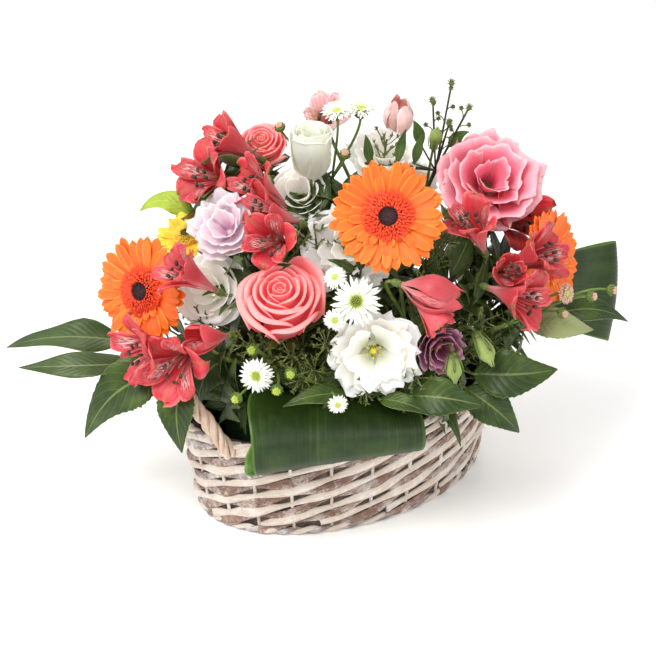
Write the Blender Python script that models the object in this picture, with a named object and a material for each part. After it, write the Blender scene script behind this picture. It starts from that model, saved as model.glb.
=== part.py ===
"""A flower basket arrangement: an oval split-willow basket with two twisted end handles, a waterproof liner and a
block of wet foam, and the stems, blooms and leaves that stand in it. Lengths are in millimetres until a mesh is
made. The row frame has the basket's long axis on X, +Z up, and its origin under the middle of the basket."""

import math

import bmesh
import bpy
import numpy as np
from mathutils import Vector
from mathutils.bvhtree import BVHTree

MM = 0.001
GAP = 0.35  # clearance kept between neighbouring pieces

# ---- driving dimensions -------------------------------------------------------------------------------------
RIM_A, RIM_B = 148.0, 96.0  # half length and half width of the basket at its rim
FOOT_A, FOOT_B = 131.0, 83.0  # and at its foot
BASKET_H = 97.0
WALL = 6.0  # from the inside of the wall to the bottom of the gaps between the splits
SPLIT_PITCH = 11.0  # height that one split takes
SPLIT_RELIEF = 2.6
SPLIT_COUNT = 16  # splits that start round the foot, each one pitch above the last
FLOOR_T = 7.0
LINER_T = 1.0
FOAM_A, FOAM_B, FOAM_TOP = 104.0, 62.0, 132.0
HEART = np.array([0.0, 0.0, 84.0])  # where every stem in the foam points
SEAT = np.array([76.0, 44.0, 34.0])  # half sizes of the ellipsoid in the foam on which the stems end
IN_FOAM = 42.0  # the straight foot of a stem, from its seat to outside the foam
FRONT_TURN = math.radians(-28.0)  # the arrangement's front, turned from the basket's broad side

COLOURS = {
    "willow": (0.72, 0.60, 0.50), "rope": (0.78, 0.62, 0.47), "film": (0.05, 0.06, 0.05),
    "foam": (0.06, 0.16, 0.07), "gerbera": (1.0, 0.28, 0.02), "gerbera_eye": (0.09, 0.02, 0.03),
    "stem": (0.20, 0.34, 0.08), "rose": (0.93, 0.33, 0.33), "white": (0.93, 0.91, 0.86),
    "cream_green": (0.86, 0.90, 0.66), "lavender": (0.80, 0.66, 0.78), "mauve": (0.48, 0.20, 0.34),
    "pink": (0.93, 0.36, 0.45), "red": (0.78, 0.07, 0.09), "yellow": (0.98, 0.70, 0.04),
    "blush": (0.93, 0.48, 0.50), "aster": (0.90, 0.92, 0.80), "filler": (0.30, 0.40, 0.16),
    "leaf": (0.07, 0.20, 0.05), "aspidistra": (0.03, 0.13, 0.05), "wavy_leaf": (0.08, 0.19, 0.08),
    "lime_leaf": (0.42, 0.56, 0.10),
}
ROUGHNESS = {"film": 0.3, "leaf": 0.4, "aspidistra": 0.35, "wavy_leaf": 0.4}


# ---- frames and vectors ---------------------------------------------------------------------------------------
def unit(v):
    v = np.asarray(v, float)
    return v / np.linalg.norm(v)


def turned(v, angle):
    c, s = math.cos(angle), math.sin(angle)
    return np.array([v[0] * c - v[1] * s, v[0] * s + v[1] * c, v[2]])


def place(right, back, up):
    """A point given from the arrangement's front: to its right, away from the viewer, and up."""
    return turned(np.array([right, back, up], float), FRONT_TURN)


def facing(turn, rise):
    """The way a bloom looks: turn degrees to the right of the arrangement's front, and rise above level."""
    t, r = math.radians(turn), math.radians(rise)
    return turned(np.array([math.sin(t) * math.cos(r), -math.cos(t) * math.cos(r), math.sin(r)]), FRONT_TURN)


def axes_on(axis, roll=0.0):
    """Columns x, y, z of a frame whose z is the axis, and whose y points as far up as it can, then rolled."""
    z = unit(axis)
    up = np.array([0.0, 0.0, 1.0]) if abs(z[2]) < 0.97 else np.array([0.0, 1.0, 0.0])
    x = unit(np.cross(up, z))
    y = np.cross(z, x)
    c, s = math.cos(math.radians(roll)), math.sin(math.radians(roll))
    return np.column_stack([x * c + y * s, y * c - x * s, z])


def bezier(points, t):
    """A point, at t from 0 to 1, of the Bezier curve through these control points."""
    points = [np.asarray(p, float) for p in points]
    while len(points) > 1:
        points = [a * (1 - t) + b * t for a, b in zip(points, points[1:])]
    return points[0]


# ---- closed shapes, as (points, triangles) ----------------------------------------------------------------------
def grid_faces(rows, cols, start=0, flip=False):
    found = []
    for i in range(rows - 1):
        for j in range(cols - 1):
            a, b = start + i * cols + j, start + i * cols + j + 1
            c, d = b + cols, a + cols
            found += [(a, b, c), (a, c, d)]
    return [f[::-1] for f in found] if flip else found


def sheet_solid(surface, thick):
    """A blade: a grid of points, thickened to both sides along its normals, with the same triangles on each. thick may
    be one number or one for each row."""
    surface = np.asarray(surface, float)
    rows, cols = surface.shape[:2]
    along = np.gradient(surface, axis=0)
    across = np.gradient(surface, axis=1)
    normal = np.cross(along, across)
    normal /= np.maximum(np.linalg.norm(normal, axis=2, keepdims=True), 1e-9)
    half = normal * np.broadcast_to(thick, rows).reshape(-1, 1, 1) / 2
    front, back = surface - half, surface + half
    points = np.concatenate([front.reshape(-1, 3), back.reshape(-1, 3)])
    count = rows * cols
    faces = grid_faces(rows, cols) + grid_faces(rows, cols, count, flip=True)
    edge = [(0, j) for j in range(cols)] + [(i, cols - 1) for i in range(1, rows)]
    edge += [(rows - 1, j) for j in range(cols - 2, -1, -1)] + [(i, 0) for i in range(rows - 2, 0, -1)]
    loop = [i * cols + j for i, j in edge]
    for a, b in zip(loop, loop[1:] + loop[:1]):
        faces += [(b, a, a + count), (b, a + count, b + count)]
    return points, faces


def tube_rings(path, radii, sides, first_side=None, lobes=0.0, twist=0.0):
    """Rings of points along a path. With lobes, they have ridges that turn by twist degrees from end to end."""
    path = np.asarray(path, float)
    radii = np.broadcast_to(radii, len(path))
    tangent = np.gradient(path, axis=0)
    side = axes_on(tangent[0])[:, 0] if first_side is None else first_side
    rings = []
    for k, (p, t, r) in enumerate(zip(path, tangent, radii)):
        t = unit(t)
        side = unit(side - t * (side @ t))
        other = np.cross(t, side)
        ring = []
        for s in range(sides):
            angle = 2 * math.pi * s / sides + math.radians(twist) * k / (len(path) - 1)
            wave = r * (1 + lobes * (1 if s % 2 else -1))
            ring.append(p + wave * (math.cos(angle) * side + math.sin(angle) * other))
        rings.append(ring)
    return rings


def skin(rings, inward=()):
    """A closed surface over rings of points that run round one axis, from one end to the other. Rings may differ in
    their number of points; an end ring of more than one is closed to its middle. The bands up to the rings that
    inward lists are split the other way, so that a petal's inner face has the same triangles as its outer face."""
    rings = list(rings)
    marks = set(inward)
    if len(rings[0]) > 1:
        rings = [[np.mean(rings[0], axis=0)]] + rings
        marks = {k + 1 for k in marks}
    if len(rings[-1]) > 1:
        rings.append([np.mean(rings[-1], axis=0)])
    points, starts = [], []
    for ring in rings:
        starts.append(len(points))
        points += list(ring)
    faces = []
    for k in range(len(rings) - 1):
        low, high = len(rings[k]), len(rings[k + 1])
        if low == high:
            for c in range(low):
                p, q = starts[k] + c, starts[k] + (c + 1) % low
                r, t = p + low, q + low
                faces += [(p, q, r), (q, t, r)] if k + 1 in marks else [(p, q, t), (p, t, r)]
            continue
        under = [(c / low, starts[k] + c % low) for c in range(low + 1)] if low > 1 else [(0.0, starts[k])]
        over = [(c / high, starts[k + 1] + c % high) for c in range(high + 1)] if high > 1 else [(0.0, starts[k + 1])]
        faces += zip_columns(over, under)
    return np.array(points), faces


def tube_solid(path, radii, sides=5, lobes=0.0, twist=0.0):
    return skin(tube_rings(path, radii, sides, None, lobes, twist))


def zip_columns(left, right):
    """Triangles between two rows of (key, index) pairs that rise by key."""
    i = j = 0
    found = []
    while i < len(left) - 1 or j < len(right) - 1:
        a = left[i + 1][0] if i < len(left) - 1 else None
        b = right[j + 1][0] if j < len(right) - 1 else None
        if b is None or (a is not None and a <= b):
            found.append((left[i][1], right[j][1], left[i + 1][1]))
            i += 1
        if a is None or (b is not None and b <= a):
            found.append((left[i][1], right[j][1], right[j + 1][1]))
            j += 1
    return found


def ring_of(columns, height_of):
    """A ring round z of this many points; height_of gives each one's (radius, height)."""
    found = []
    for c in range(columns):
        r, z = height_of(c)
        angle = 2 * math.pi * c / columns
        found.append(np.array([r * math.cos(angle), r * math.sin(angle), z]))
    return found


def level_ring(sides, radius, height):
    return ring_of(sides, lambda c: (radius, height))


def moved_rings(rings, frame, origin):
    return [[np.asarray(frame) @ np.asarray(p, float) + origin for p in ring] for ring in rings]


def stalk_rings(path, radii, sides, side):
    """Rings up a stalk, lined up with side at its upper end, for a head's rings to follow."""
    radii = np.broadcast_to(radii, len(path))
    down = tube_rings(list(path)[::-1], radii[::-1], sides, side)
    return [[ring[0]] + ring[:0:-1] for ring in reversed(down)]


def headed(path, radii, sides, head, inward, frame, origin):
    """A stalk and the head it bears as one closed surface."""
    lower = stalk_rings(path, radii, sides, np.asarray(frame)[:, 0])
    return skin(lower + moved_rings(head, frame, origin), [k + len(lower) for k in inward])


# ---- Blender objects -----------------------------------------------------------------------------------------
def material(name):
    made = bpy.data.materials.get(name)
    if made is None:
        made = bpy.data.materials.new(name)
        made.use_nodes = True
        shader = made.node_tree.nodes["Principled BSDF"]
        shader.inputs["Base Color"].default_value = (*COLOURS[name], 1.0)
        shader.inputs["Roughness"].default_value = ROUGHNESS.get(name, 0.6)
    return made


def mesh_object(name, shape, colour):
    points, faces = shape
    mesh = bpy.data.meshes.new(name)
    mesh.from_pydata([Vector(p) * MM for p in points], [], faces)
    mesh.materials.append(material(colour))
    mesh.update()
    made = bpy.data.objects.new(name, mesh)
    bpy.context.scene.collection.objects.link(made)
    return made


def evaluated(obj):
    """The object's mesh with its modifiers applied."""
    bpy.context.view_layer.update()
    graph = bpy.context.evaluated_depsgraph_get()
    mesh = bpy.data.meshes.new_from_object(obj.evaluated_get(graph))
    obj.modifiers.clear()
    old, obj.data = obj.data, mesh
    bpy.data.meshes.remove(old)
    return obj


def fuse(name, shapes, colour):
    """One node: these shapes joined by one Boolean union on a collection, which is then emptied."""
    first = mesh_object(name, shapes[0], colour)
    if len(shapes) == 1:
        return first
    rest = bpy.data.collections.new(name + "_repeats")
    for k, shape in enumerate(shapes[1:]):
        piece = mesh_object(f"{name}_{k}", shape, colour)
        bpy.context.scene.collection.objects.unlink(piece)
        rest.objects.link(piece)
    join = first.modifiers.new("join", "BOOLEAN")
    join.operation, join.operand_type, join.solver = "UNION", "COLLECTION", "MANIFOLD"
    join.collection = rest
    evaluated(first)
    for piece in list(rest.objects):
        mesh = piece.data
        bpy.data.objects.remove(piece)
        bpy.data.meshes.remove(mesh)
    bpy.data.collections.remove(rest)
    keep_largest(first)
    return first


def keep_largest(obj):
    """Drops loose scraps: only the body with the most surface stays."""
    work = bmesh.new()
    work.from_mesh(obj.data)
    work.verts.ensure_lookup_table()
    seen, islands = set(), []
    for start in work.verts:
        if start.index in seen:
            continue
        stack, island = [start], []
        seen.add(start.index)
        while stack:
            vert = stack.pop()
            island.append(vert)
            for edge in vert.link_edges:
                other = edge.other_vert(vert)
                if other.index not in seen:
                    seen.add(other.index)
                    stack.append(other)
        area = sum(f.calc_area() for f in {f for v in island for f in v.link_faces})
        islands.append((area, island))
    if len(islands) > 1:
        islands.sort(key=lambda pair: pair[0])
        bmesh.ops.delete(work, geom=[v for _, island in islands[:-1] for v in island], context="VERTS")
        work.to_mesh(obj.data)
        obj.data.update()
    work.free()


def swollen(obj, by):
    """A copy of the object's mesh, as a hidden cutter, with each point moved out along its normal."""
    cutter = bpy.data.objects.new(obj.name + "_cutter", obj.data.copy())
    normals = [v.normal.copy() for v in cutter.data.vertices]
    for vert, normal in zip(cutter.data.vertices, normals):
        vert.co += normal * by * MM
    cutter.hide_render = True
    cutter.display_type = "WIRE"
    bpy.context.scene.collection.objects.link(cutter)
    return cutter


def tree_of(obj):
    return BVHTree.FromPolygons([v.co for v in obj.data.vertices], [p.vertices for p in obj.data.polygons])


def box_of(obj):
    co = np.array([v.co for v in obj.data.vertices])
    return co.min(0), co.max(0)


def cut(obj, cutter):
    """Takes the cutter's shape from the object, whose largest body stays."""
    made = obj.modifiers.new("cut", "BOOLEAN")
    made.operation, made.solver, made.object = "DIFFERENCE", "MANIFOLD", cutter
    evaluated(obj)
    keep_largest(obj)


def trim(order):
    """Takes from each object what it shares with those before it, with a gap, as pressed leaves and petals yield."""
    done = []
    for obj in order:
        low, high = box_of(obj)
        for other, cutter, tree, (clow, chigh) in done:
            if (low > chigh).any() or (high < clow).any() or not tree_of(obj).overlap(tree):
                continue
            cut(obj, cutter)
            if tree_of(obj).overlap(tree_of(other)):
                cut(obj, other)
        cutter = swollen(obj, GAP)
        done.append((obj, cutter, tree_of(cutter), box_of(cutter)))
    for _, cutter, _, _ in done:
        mesh = cutter.data
        bpy.data.objects.remove(cutter)
        bpy.data.meshes.remove(mesh)


# ---- forms of the plants, each in its own frame with z the way it opens: rings, and which of them face inward ----
def petal_ring(petals, shift, radius, notch, height, sink, ruffle=0.0):
    """A ring of petals, three points to each: a notch and two shoulders. Ruffle lifts and lowers the shoulders."""

    def at(c):
        petal, part = divmod(c + shift, 3)
        if part == 0:
            return radius * notch, height - sink
        wave = ruffle * (1 if (petal + part) % 2 else -1)
        return radius * (0.96 + 0.05 * part), height + wave

    return ring_of(3 * petals, at)


def gerbera_rings(radius):
    """Three layers of rays, each a third of a ray on from the last: two long and one short."""
    rays = 11 if radius > 30 else 8

    def layer(reach, notch, lift, bend, shift, side):
        def at(c):
            r = radius * (reach if (c + shift) % 3 else notch)
            drop = 0.0 if shift or c % 3 else 0.8
            return r, lift + side + bend * (r / radius) ** 2 - drop

        return ring_of(3 * rays, at)

    return [
        [np.array([0.0, 0.0, -1.4])],
        layer(1.0, 0.68, 0.0, 7.0, 0, -0.55), layer(1.0, 0.68, 0.0, 7.0, 0, 0.55),
        level_ring(3 * rays, 0.36 * radius, 1.6),
        layer(0.8, 0.54, 1.2, 10.0, 1, -0.5), layer(0.8, 0.54, 1.2, 10.0, 1, 0.6),
        level_ring(3 * rays, 0.3 * radius, 3.0),
        layer(0.43, 0.34, 3.2, 10.0, 2, -0.5), layer(0.43, 0.34, 3.2, 10.0, 2, 1.0),
        [np.array([0.0, 0.0, 1.8])],
    ], (2, 3, 5, 6, 8)


def gerbera_eye_rings(radius):
    r = 0.27 * radius
    sides = 10
    return [[np.array([0, 0, 2.5])], level_ring(sides, 0.6 * r, 4.5), level_ring(sides, r, 6.3),
            level_ring(sides, 0.8 * r, 7.8), [np.array([0, 0, 8.6])]]


def rose_rings(radius, depth):
    """Rings of petals, each taller and tighter than the one round it, to a rolled heart."""
    outer = radius - 1.1
    middle, heart = 0.72 * radius, 0.44 * radius
    return [
        level_ring(15, 0.16 * radius, -depth), level_ring(15, 0.78 * radius, -0.52 * depth),
        petal_ring(5, 0, radius, 0.86, 0.02 * radius, 0.16 * radius),
        petal_ring(5, 0, outer, 0.85, 0.06 * radius, 0.14 * radius),
        level_ring(15, 0.6 * radius, -0.2 * radius),
        petal_ring(5, 1, middle, 0.9, 0.24 * radius, 0.14 * radius),
        petal_ring(5, 1, middle - 1.2, 0.88, 0.27 * radius, 0.12 * radius),
        level_ring(15, 0.4 * radius, 0.0),
        petal_ring(5, 2, heart, 0.88, 0.4 * radius, 0.1 * radius),
        petal_ring(5, 2, heart - 1.2, 0.84, 0.42 * radius, 0.1 * radius),
        level_ring(15, 0.2 * radius, 0.24 * radius),
    ], (3, 4, 6, 7, 9, 10)


def lisianthus_rings(radius, depth, opening, ruffle=2.0):
    """Two rings of broad ruffled petals. Opening runs from 0, a closed bud, to 1, a flat bloom."""
    rise = 0.5 * (1 - opening) * radius
    inner = 0.68 * radius
    return [
        [np.array([0.0, 0.0, -depth])], level_ring(15, (0.32 + 0.18 * opening) * radius, -0.5 * depth),
        petal_ring(5, 0, radius, 0.7, rise, 0.16 * radius, ruffle),
        petal_ring(5, 0, radius - 0.7, 0.69, rise + 1.1, 0.16 * radius, ruffle),
        level_ring(15, (0.24 + 0.16 * opening) * radius, -0.3 * depth),
        petal_ring(5, 2, inner, 0.72, rise + 0.22 * radius, 0.14 * radius, ruffle),
        petal_ring(5, 2, inner - 0.9, 0.7, rise + 0.22 * radius + 1.0, 0.14 * radius, ruffle),
        level_ring(15, 0.14 * radius + 1.0, -0.24 * depth),
    ], (3, 4, 6, 7)


def alstroemeria_length(radius, opening):
    return radius * (2.0 - 0.7 * opening)


def alstroemeria_rings(radius, opening):
    """A trumpet that splits into six pointed tepals, of which three are narrower and stand more upright."""
    length = alstroemeria_length(radius, opening)
    reach = radius * (0.3 + 0.7 * opening)
    throat = 0.14 * radius + 1

    def tips(inset, lift):
        def at(c):
            if c % 2:
                return 0.68 * reach - inset, lift - 0.12 * radius
            return (reach - inset, lift) if c % 4 else (0.86 * reach - inset, lift + 0.2 * radius)

        return ring_of(12, at)

    return [
        level_ring(12, throat, -0.6 * length), tips(0.0, 0.0), tips(0.8, 0.9),
        level_ring(12, 0.5 * throat + 0.26 * reach - 1.2, -0.26 * length), [np.array([0.0, 0.0, -0.45 * length])],
    ], (2, 3)


def aster_rings(radius):
    """A small daisy head: fine rays, and a domed eye."""

    def star(lift):
        return ring_of(12, lambda c: (radius, lift + 0.12 * radius) if c % 2 else (0.6 * radius, lift))

    return [star(-0.35), star(0.35), [np.array([0.0, 0.0, 0.28 * radius])]], ()


def bud_rings(radius, length):
    """A pointed bud whose foot is at the origin."""
    tip = [np.array([0.0, 0.0, length])]
    return [level_ring(5, 0.8 * radius, 0.25 * length), level_ring(5, radius, 0.6 * length), tip], ()


def calyx_rings(radius, depth):
    return [level_ring(6, 0.9 * radius, -0.3 * depth), level_ring(6, radius, 0.0)], ()


# ---- stems and leaves -------------------------------------------------------------------------------------------
def seat_under(point):
    """Where, low in the foam, a stem ends whose upper end is at this point."""
    away = unit(point - HEART)
    return HEART + away / np.linalg.norm(away / SEAT)


def stem_path(top, look, start=None, steps=3, straight=0.4):
    """A stem's line: radially out of the foam, straight as far as the foam goes, and square to the bloom's back; or,
    with a start, that of a side branch."""
    foot = seat_under(top) if start is None else np.asarray(start, float)
    lead = unit(top - foot)
    out = foot + lead * IN_FOAM if start is None else foot
    span = np.linalg.norm(top - out)
    bend = [out, out + lead * span * straight, top - look * span * 0.3, top]
    path = [bezier(bend, k / (steps - 1)) for k in range(steps)]
    return [foot] + path if start is None else path


def trunk(fork, radius=2.0, knot=4.2):
    """The main stem of a spray, with the knot that its branches grow from."""
    lead = unit(fork - HEART)
    side = axes_on(lead)[:, 0]
    path = [seat_under(fork), seat_under(fork) + lead * IN_FOAM, fork - lead * knot, fork, fork + lead * knot]
    rings = tube_rings(path, [radius, radius, radius, knot, 0.4 * knot], 4, side)
    return skin(rings)


def branch(fork, centre, look, back, rings, radius, sides=4, steps=3, roll=0.0):
    """A side stem from the fork and the head that it bears, whose stem ends back behind its centre."""
    head, inward = rings
    lead = unit(fork - HEART)
    path = stem_path(centre - look * back, look, fork + lead * 0.5, steps, 0.35)
    return headed(path, radius, sides, head, inward, axes_on(look, roll), centre)


def leaf(start, base, middle, tip, width, look, teeth=0.09, rows=5):
    """A leaf and its stalk as one folded sheet, along a curved midrib; look is the way its face turns."""
    surface, thick = [], []
    up = facing(*look)
    path = [base, base * 0.5 + middle * 0.5, middle * 1.4 - 0.2 * (base + tip), tip]
    stalk = [start, start * 0.4 + base * 0.6, base]
    for i in range(rows + 2):
        t = max((i - 2) / (rows - 1), 0.0)
        mid = bezier(path, t) if i > 1 else stalk[i]
        ahead = unit(stalk[2] - stalk[0]) if i < 2 else unit(bezier(path, min(t + 0.02, 1)) - bezier(path, t - 0.02))
        side = unit(np.cross(ahead, up))
        face = np.cross(side, ahead)
        swell = (t / 0.42) ** 0.7 if t < 0.42 else ((1 - t) / 0.58) ** 0.8
        half = max(0.5 * width * swell * (1 + teeth * (1 if i % 2 else -1)), 1.3 if i < 3 else 0.8)
        fold = face * 0.18 * half
        surface.append([mid - side * half + fold, mid, mid + side * half + fold])
        thick.append(2.0 if i < 2 else 0.9)
    return sheet_solid(surface, np.array(thick))


# ---- the layout: points are (right, back, up) from the front, looks are (turn, rise) ------------------------------
GERBERAS = [
    ("gerbera_centre", (34, -66, 280), (3, 33), 46), ("gerbera_left", (-158, -44, 204), (-34, 20), 46),
    ("gerbera_right", (168, 4, 208), (54, 16), 44), ("gerbera_yellow", (-127, 2, 227), (-10, 70), 26),
]
# name, centre, look, radius, depth
ROSES = [
    ("rose_front", (-48, -88, 222), (-4, 60), 36, 56), ("rose_back", (-66, 60, 286), (-10, 58), 24, 30),
]
# name, colour, centre, look, radius, depth, opening
LISIANTHUS = [
    ("white_back", "white", (8, -36, 240), (-14, 42), 40, 34, 0.8),
    ("white_front", "white", (24, -112, 186), (2, 16), 37, 32, 0.8),
    ("white_left", "white", (-106, -44, 204), (-24, 34), 33, 30, 0.75),
    ("white_middle", "white", (-34, 14, 262), (-14, 50), 26, 28, 0.6),
    ("white_top", "white", (34, 30, 288), (10, 64), 29, 32, 0.7),
    ("white_bud", "cream_green", (-25, 16, 312), (-4, 84), 19, 42, 0.12),
    ("lavender", "lavender", (-93, -30, 254), (-16, 42), 29, 26, 0.7),
    ("mauve", "mauve", (77, -94, 180), (18, 10), 20, 26, 0.5),
    ("pink", "pink", (121, 24, 270), (10, 44), 46, 34, 0.85),
    ("white_rear", "white", (52, 96, 244), (160, 40), 36, 32, 0.8),
]
# each green stem: name, fork, blooms on it, buds as (point, look, radius, length)
LISIANTHUS_STEMS = [
    ("stem_white_middle", (-22, 0, 200), ("white_back", "white_middle", "white_bud"), [((-62, 24, 268), (-40, 60), 6, 24)]),
    ("stem_white_front", (64, -58, 150), ("white_front", "mauve"), [
        ((110, -98, 182), (40, -46), 8, 30), ((86, -110, 172), (10, -60), 7, 24),
    ]),
    ("stem_white_left", (-72, -26, 178), ("white_left", "lavender"), []),
    ("stem_pink", (62, 20, 200), ("white_top", "pink"), [((76, 36, 302), (20, 70), 6, 24)]),
    ("stem_rear", (34, 62, 176), ("white_rear",), [((14, 100, 226), (190, 40), 7, 26)]),
]
# name, colour, fork, blooms as (centre, look, radius, opening)
ALSTROEMERIA = [
    ("spray_red_upper", "red", (-82, 20, 240), [
        ((-116, 16, 280), (-50, 30), 30, 0.9), ((-101, 32, 306), (-75, 35), 28, 0.6),
        ((-76, -8, 286), (-62, 42), 30, 0.55),
    ]),
    ("spray_red_middle", "red", (-62, -46, 206), [
        ((-68, -38, 276), (-66, 30), 27, 0.5), ((-57, -78, 267), (-20, 30), 29, 0.62),
        ((-132, -72, 240), (-70, 38), 29, 0.6),
    ]),
    ("spray_red_low", "red", (-92, -70, 156), [
        ((-166, -88, 174), (-50, 10), 33, 0.8), ((-134, -108, 170), (-20, 10), 34, 0.8),
        ((-118, -102, 192), (-50, 14), 23, 0.4),
    ]),
    ("spray_red_right", "red", (104, -34, 204), [
        ((98, -54, 276), (-44, 62), 29, 0.6), ((164, -50, 244), (62, 34), 31, 0.6),
        ((147, -84, 216), (48, 4), 30, 0.72), ((130, -70, 236), (10, 30), 22, 0.45),
    ]),
    ("spray_red_centre", "red", (48, -74, 196), [((88, -104, 228), (82, -14), 27, 0.3), ((76, -110, 208), (60, -40), 22, 0.45)]),
    ("spray_red_rear", "red", (96, 60, 204), [((150, 16, 242), (34, 32), 33, 0.8), ((118, 94, 236), (140, 36), 28, 0.8)]),
    ("spray_blush", "blush", (8, 50, 256), [((-14, 46, 320), (-10, 50), 23, 0.75), ((47, 52, 328), (10, 78), 22, 0.3)]),
]
# name, fork, heads as (centre, look, radius); a radius under 6 is a bud
ASTERS = [
    ("asters_centre", (0, -76, 206), [
        ((10, -112, 232), (-4, 30), 19), ((-6, -100, 246), (-20, 44), 9), ((-6, -117, 219), (-10, 10), 9),
    ]),
    ("asters_left", (-52, -84, 160), [
        ((-66, -124, 174), (-14, 14), 14), ((-80, -128, 158), (-24, 4), 5), ((-68, -116, 192), (-18, 26), 5),
        ((-40, -128, 180), (0, 10), 5), ((-50, -132, 168), (-6, 6), 5), ((-4, -140, 158), (0, 4), 8),
    ]),
    ("asters_top", (-8, 30, 268), [
        ((-4, 20, 330), (-10, 74), 13), ((15, 25, 330), (10, 76), 14), ((-50, 48, 304), (-30, 60), 5),
        ((2, 4, 300), (0, 50), 5),
    ]),
    ("asters_right", (132, -50, 176), [
        ((178, -52, 206), (46, 20), 9), ((172, -60, 194), (40, 6), 5), ((196, -46, 200), (60, 14), 5),
        ((214, -34, 200), (64, 4), 5),
    ]),
    ("asters_rear", (-60, 60, 190), [((-78, 110, 216), (196, 30), 16), ((-52, 112, 194), (180, 16), 13)]),
]
FILLER_FORK = (78, 52, 266)
FILLER_TWIGS = [(88, 48, 342), (74, 50, 326), (102, 46, 322), (86, 34, 314)]
FILLER_LEAVES = [((66, 52, 288), (58, 44, 314), 11), ((88, 50, 288), (104, 44, 304), 11)]
# name, colour, start of the blades, leaves as (base, middle, tip, width, way the face looks)
LEAVES = [
    ("leaves_left_low", "leaf", (-112, -58, 160), [
        ((-140, -80, 150), (-182, -88, 140), (-211, -76, 84), 48, (-10, 34)),
        ((-128, -92, 148), (-132, -112, 130), (-128, -112, 94), 38, (-20, 20)),
        ((-92, -62, 150), (-110, -72, 148), (-118, -74, 112), 40, (-6, 30)),
    ]),
    ("leaves_left_high", "wavy_leaf", (-134, -34, 152), [
        ((-172, -36, 152), (-230, -52, 168), (-277, -32, 144), 27, (-10, 70)),
        ((-164, -58, 144), (-220, -78, 154), (-264, -54, 138), 22, (-10, 60)),
    ]),
    ("leaves_right", "leaf", (84, -70, 152), [
        ((104, -86, 152), (138, -98, 158), (172, -76, 150), 44, (14, 40)),
        ((98, -88, 140), (122, -108, 132), (142, -98, 104), 38, (20, 30)),
    ]),
    ("leaves_right_long", "leaf", (146, -20, 172), [
        ((168, -28, 172), (206, -26, 180), (239, -10, 156), 30, (10, 60)),
        ((150, -44, 176), (176, -64, 184), (204, -44, 168), 32, (10, 50)),
    ]),
    ("leaves_front", "leaf", (26, -96, 146), [
        ((52, -112, 148), (80, -124, 154), (110, -118, 142), 36, (10, 40)),
        ((28, -120, 150), (48, -134, 156), (68, -134, 144), 18, (0, 60)),
        ((4, -116, 152), (-22, -132, 162), (-46, -134, 152), 20, (0, 60)),
    ]),
    ("leaves_lime", "lime_leaf", (-98, 28, 236), [
        ((-122, 26, 238), (-148, 30, 252), (-168, 32, 238), 24, (-20, 60)),
        ((-104, 34, 262), (-110, 36, 280), (-106, 40, 294), 13, (-30, 20)),
    ]),
    ("leaves_rear_left", "leaf", (-84, 56, 158), [
        ((-110, 76, 168), (-150, 100, 180), (-176, 104, 140), 46, (216, 50)),
        ((-86, 86, 156), (-106, 124, 160), (-120, 128, 108), 44, (200, 40)),
        ((-130, 44, 182), (-176, 46, 196), (-206, 40, 160), 40, (240, 50)),
    ]),
    ("leaves_rear", "leaf", (0, 74, 152), [
        ((-16, 94, 164), (-36, 134, 176), (-44, 144, 126), 46, (186, 40)),
        ((14, 96, 156), (34, 136, 160), (46, 142, 104), 46, (170, 40)),
    ]),
    ("leaves_rear_right", "leaf", (92, 52, 156), [
        ((116, 70, 168), (154, 92, 182), (186, 88, 142), 46, (150, 50)),
        ((88, 84, 154), (104, 124, 160), (112, 132, 110), 44, (164, 40)),
        ((112, 66, 188), (140, 92, 208), (164, 104, 184), 38, (150, 50)),
    ]),
]


# ---- the pieces -------------------------------------------------------------------------------------------------
def wall_radii(z, inset=0.0):
    share = (z / BASKET_H) ** 0.8
    a = FOOT_A + (RIM_A - SPLIT_RELIEF - FOOT_A) * share
    b = FOOT_B + (RIM_B - SPLIT_RELIEF - FOOT_B) * share
    return a - inset, b - inset


def oval_point(z, angle, inset):
    a, b = wall_radii(z, inset)
    return np.array([a * math.cos(angle), b * math.sin(angle), z])


def basket_shape(columns=28, rows=2):
    """An oval tub. Its outside rises and falls along splits that climb round it; grid rows follow the splits."""
    relief = [0.0, SPLIT_RELIEF]
    points, sides = [], []
    for c in range(columns):
        share, angle = c / columns, 2 * math.pi * c / columns
        column = [(-math.inf, len(points))]
        points.append(oval_point(0.0, angle, 0.0))
        for m in range(-rows * SPLIT_COUNT, 12 * rows):
            z = SPLIT_PITCH * (m / rows + SPLIT_COUNT * share)
            if 1.5 < z < BASKET_H - 1.5:
                column.append((m, len(points)))
                points.append(oval_point(z, angle, -relief[m % rows]))
        column.append((math.inf, len(points)))
        points.append(oval_point(BASKET_H, angle, 0.0))
        sides.append(column)
    faces = []
    for left, right in zip(sides, sides[1:]):
        faces += zip_columns(left, right)
    shift = rows * SPLIT_COUNT
    faces += zip_columns(sides[-1], [(key - shift if math.isfinite(key) else key, k) for key, k in sides[0]])
    inner = []
    for c in range(columns):
        angle = 2 * math.pi * c / columns
        inner.append((len(points), len(points) + 1))
        points += [oval_point(BASKET_H, angle, WALL), oval_point(FLOOR_T, angle, WALL)]
    under, over = len(points), len(points) + 1
    points += [np.zeros(3), np.array([0.0, 0.0, FLOOR_T])]
    for c in range(columns):
        d = (c + 1) % columns
        foot_c, foot_d = sides[c][0][1], sides[d][0][1]
        rim_c, rim_d = sides[c][-1][1], sides[d][-1][1]
        (top_c, low_c), (top_d, low_d) = inner[c], inner[d]
        faces += [(under, foot_d, foot_c), (over, low_c, low_d)]
        faces += [(rim_c, rim_d, top_d), (rim_c, top_d, top_c), (top_c, top_d, low_d), (top_c, low_d, low_c)]
    return np.array(points), faces


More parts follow.
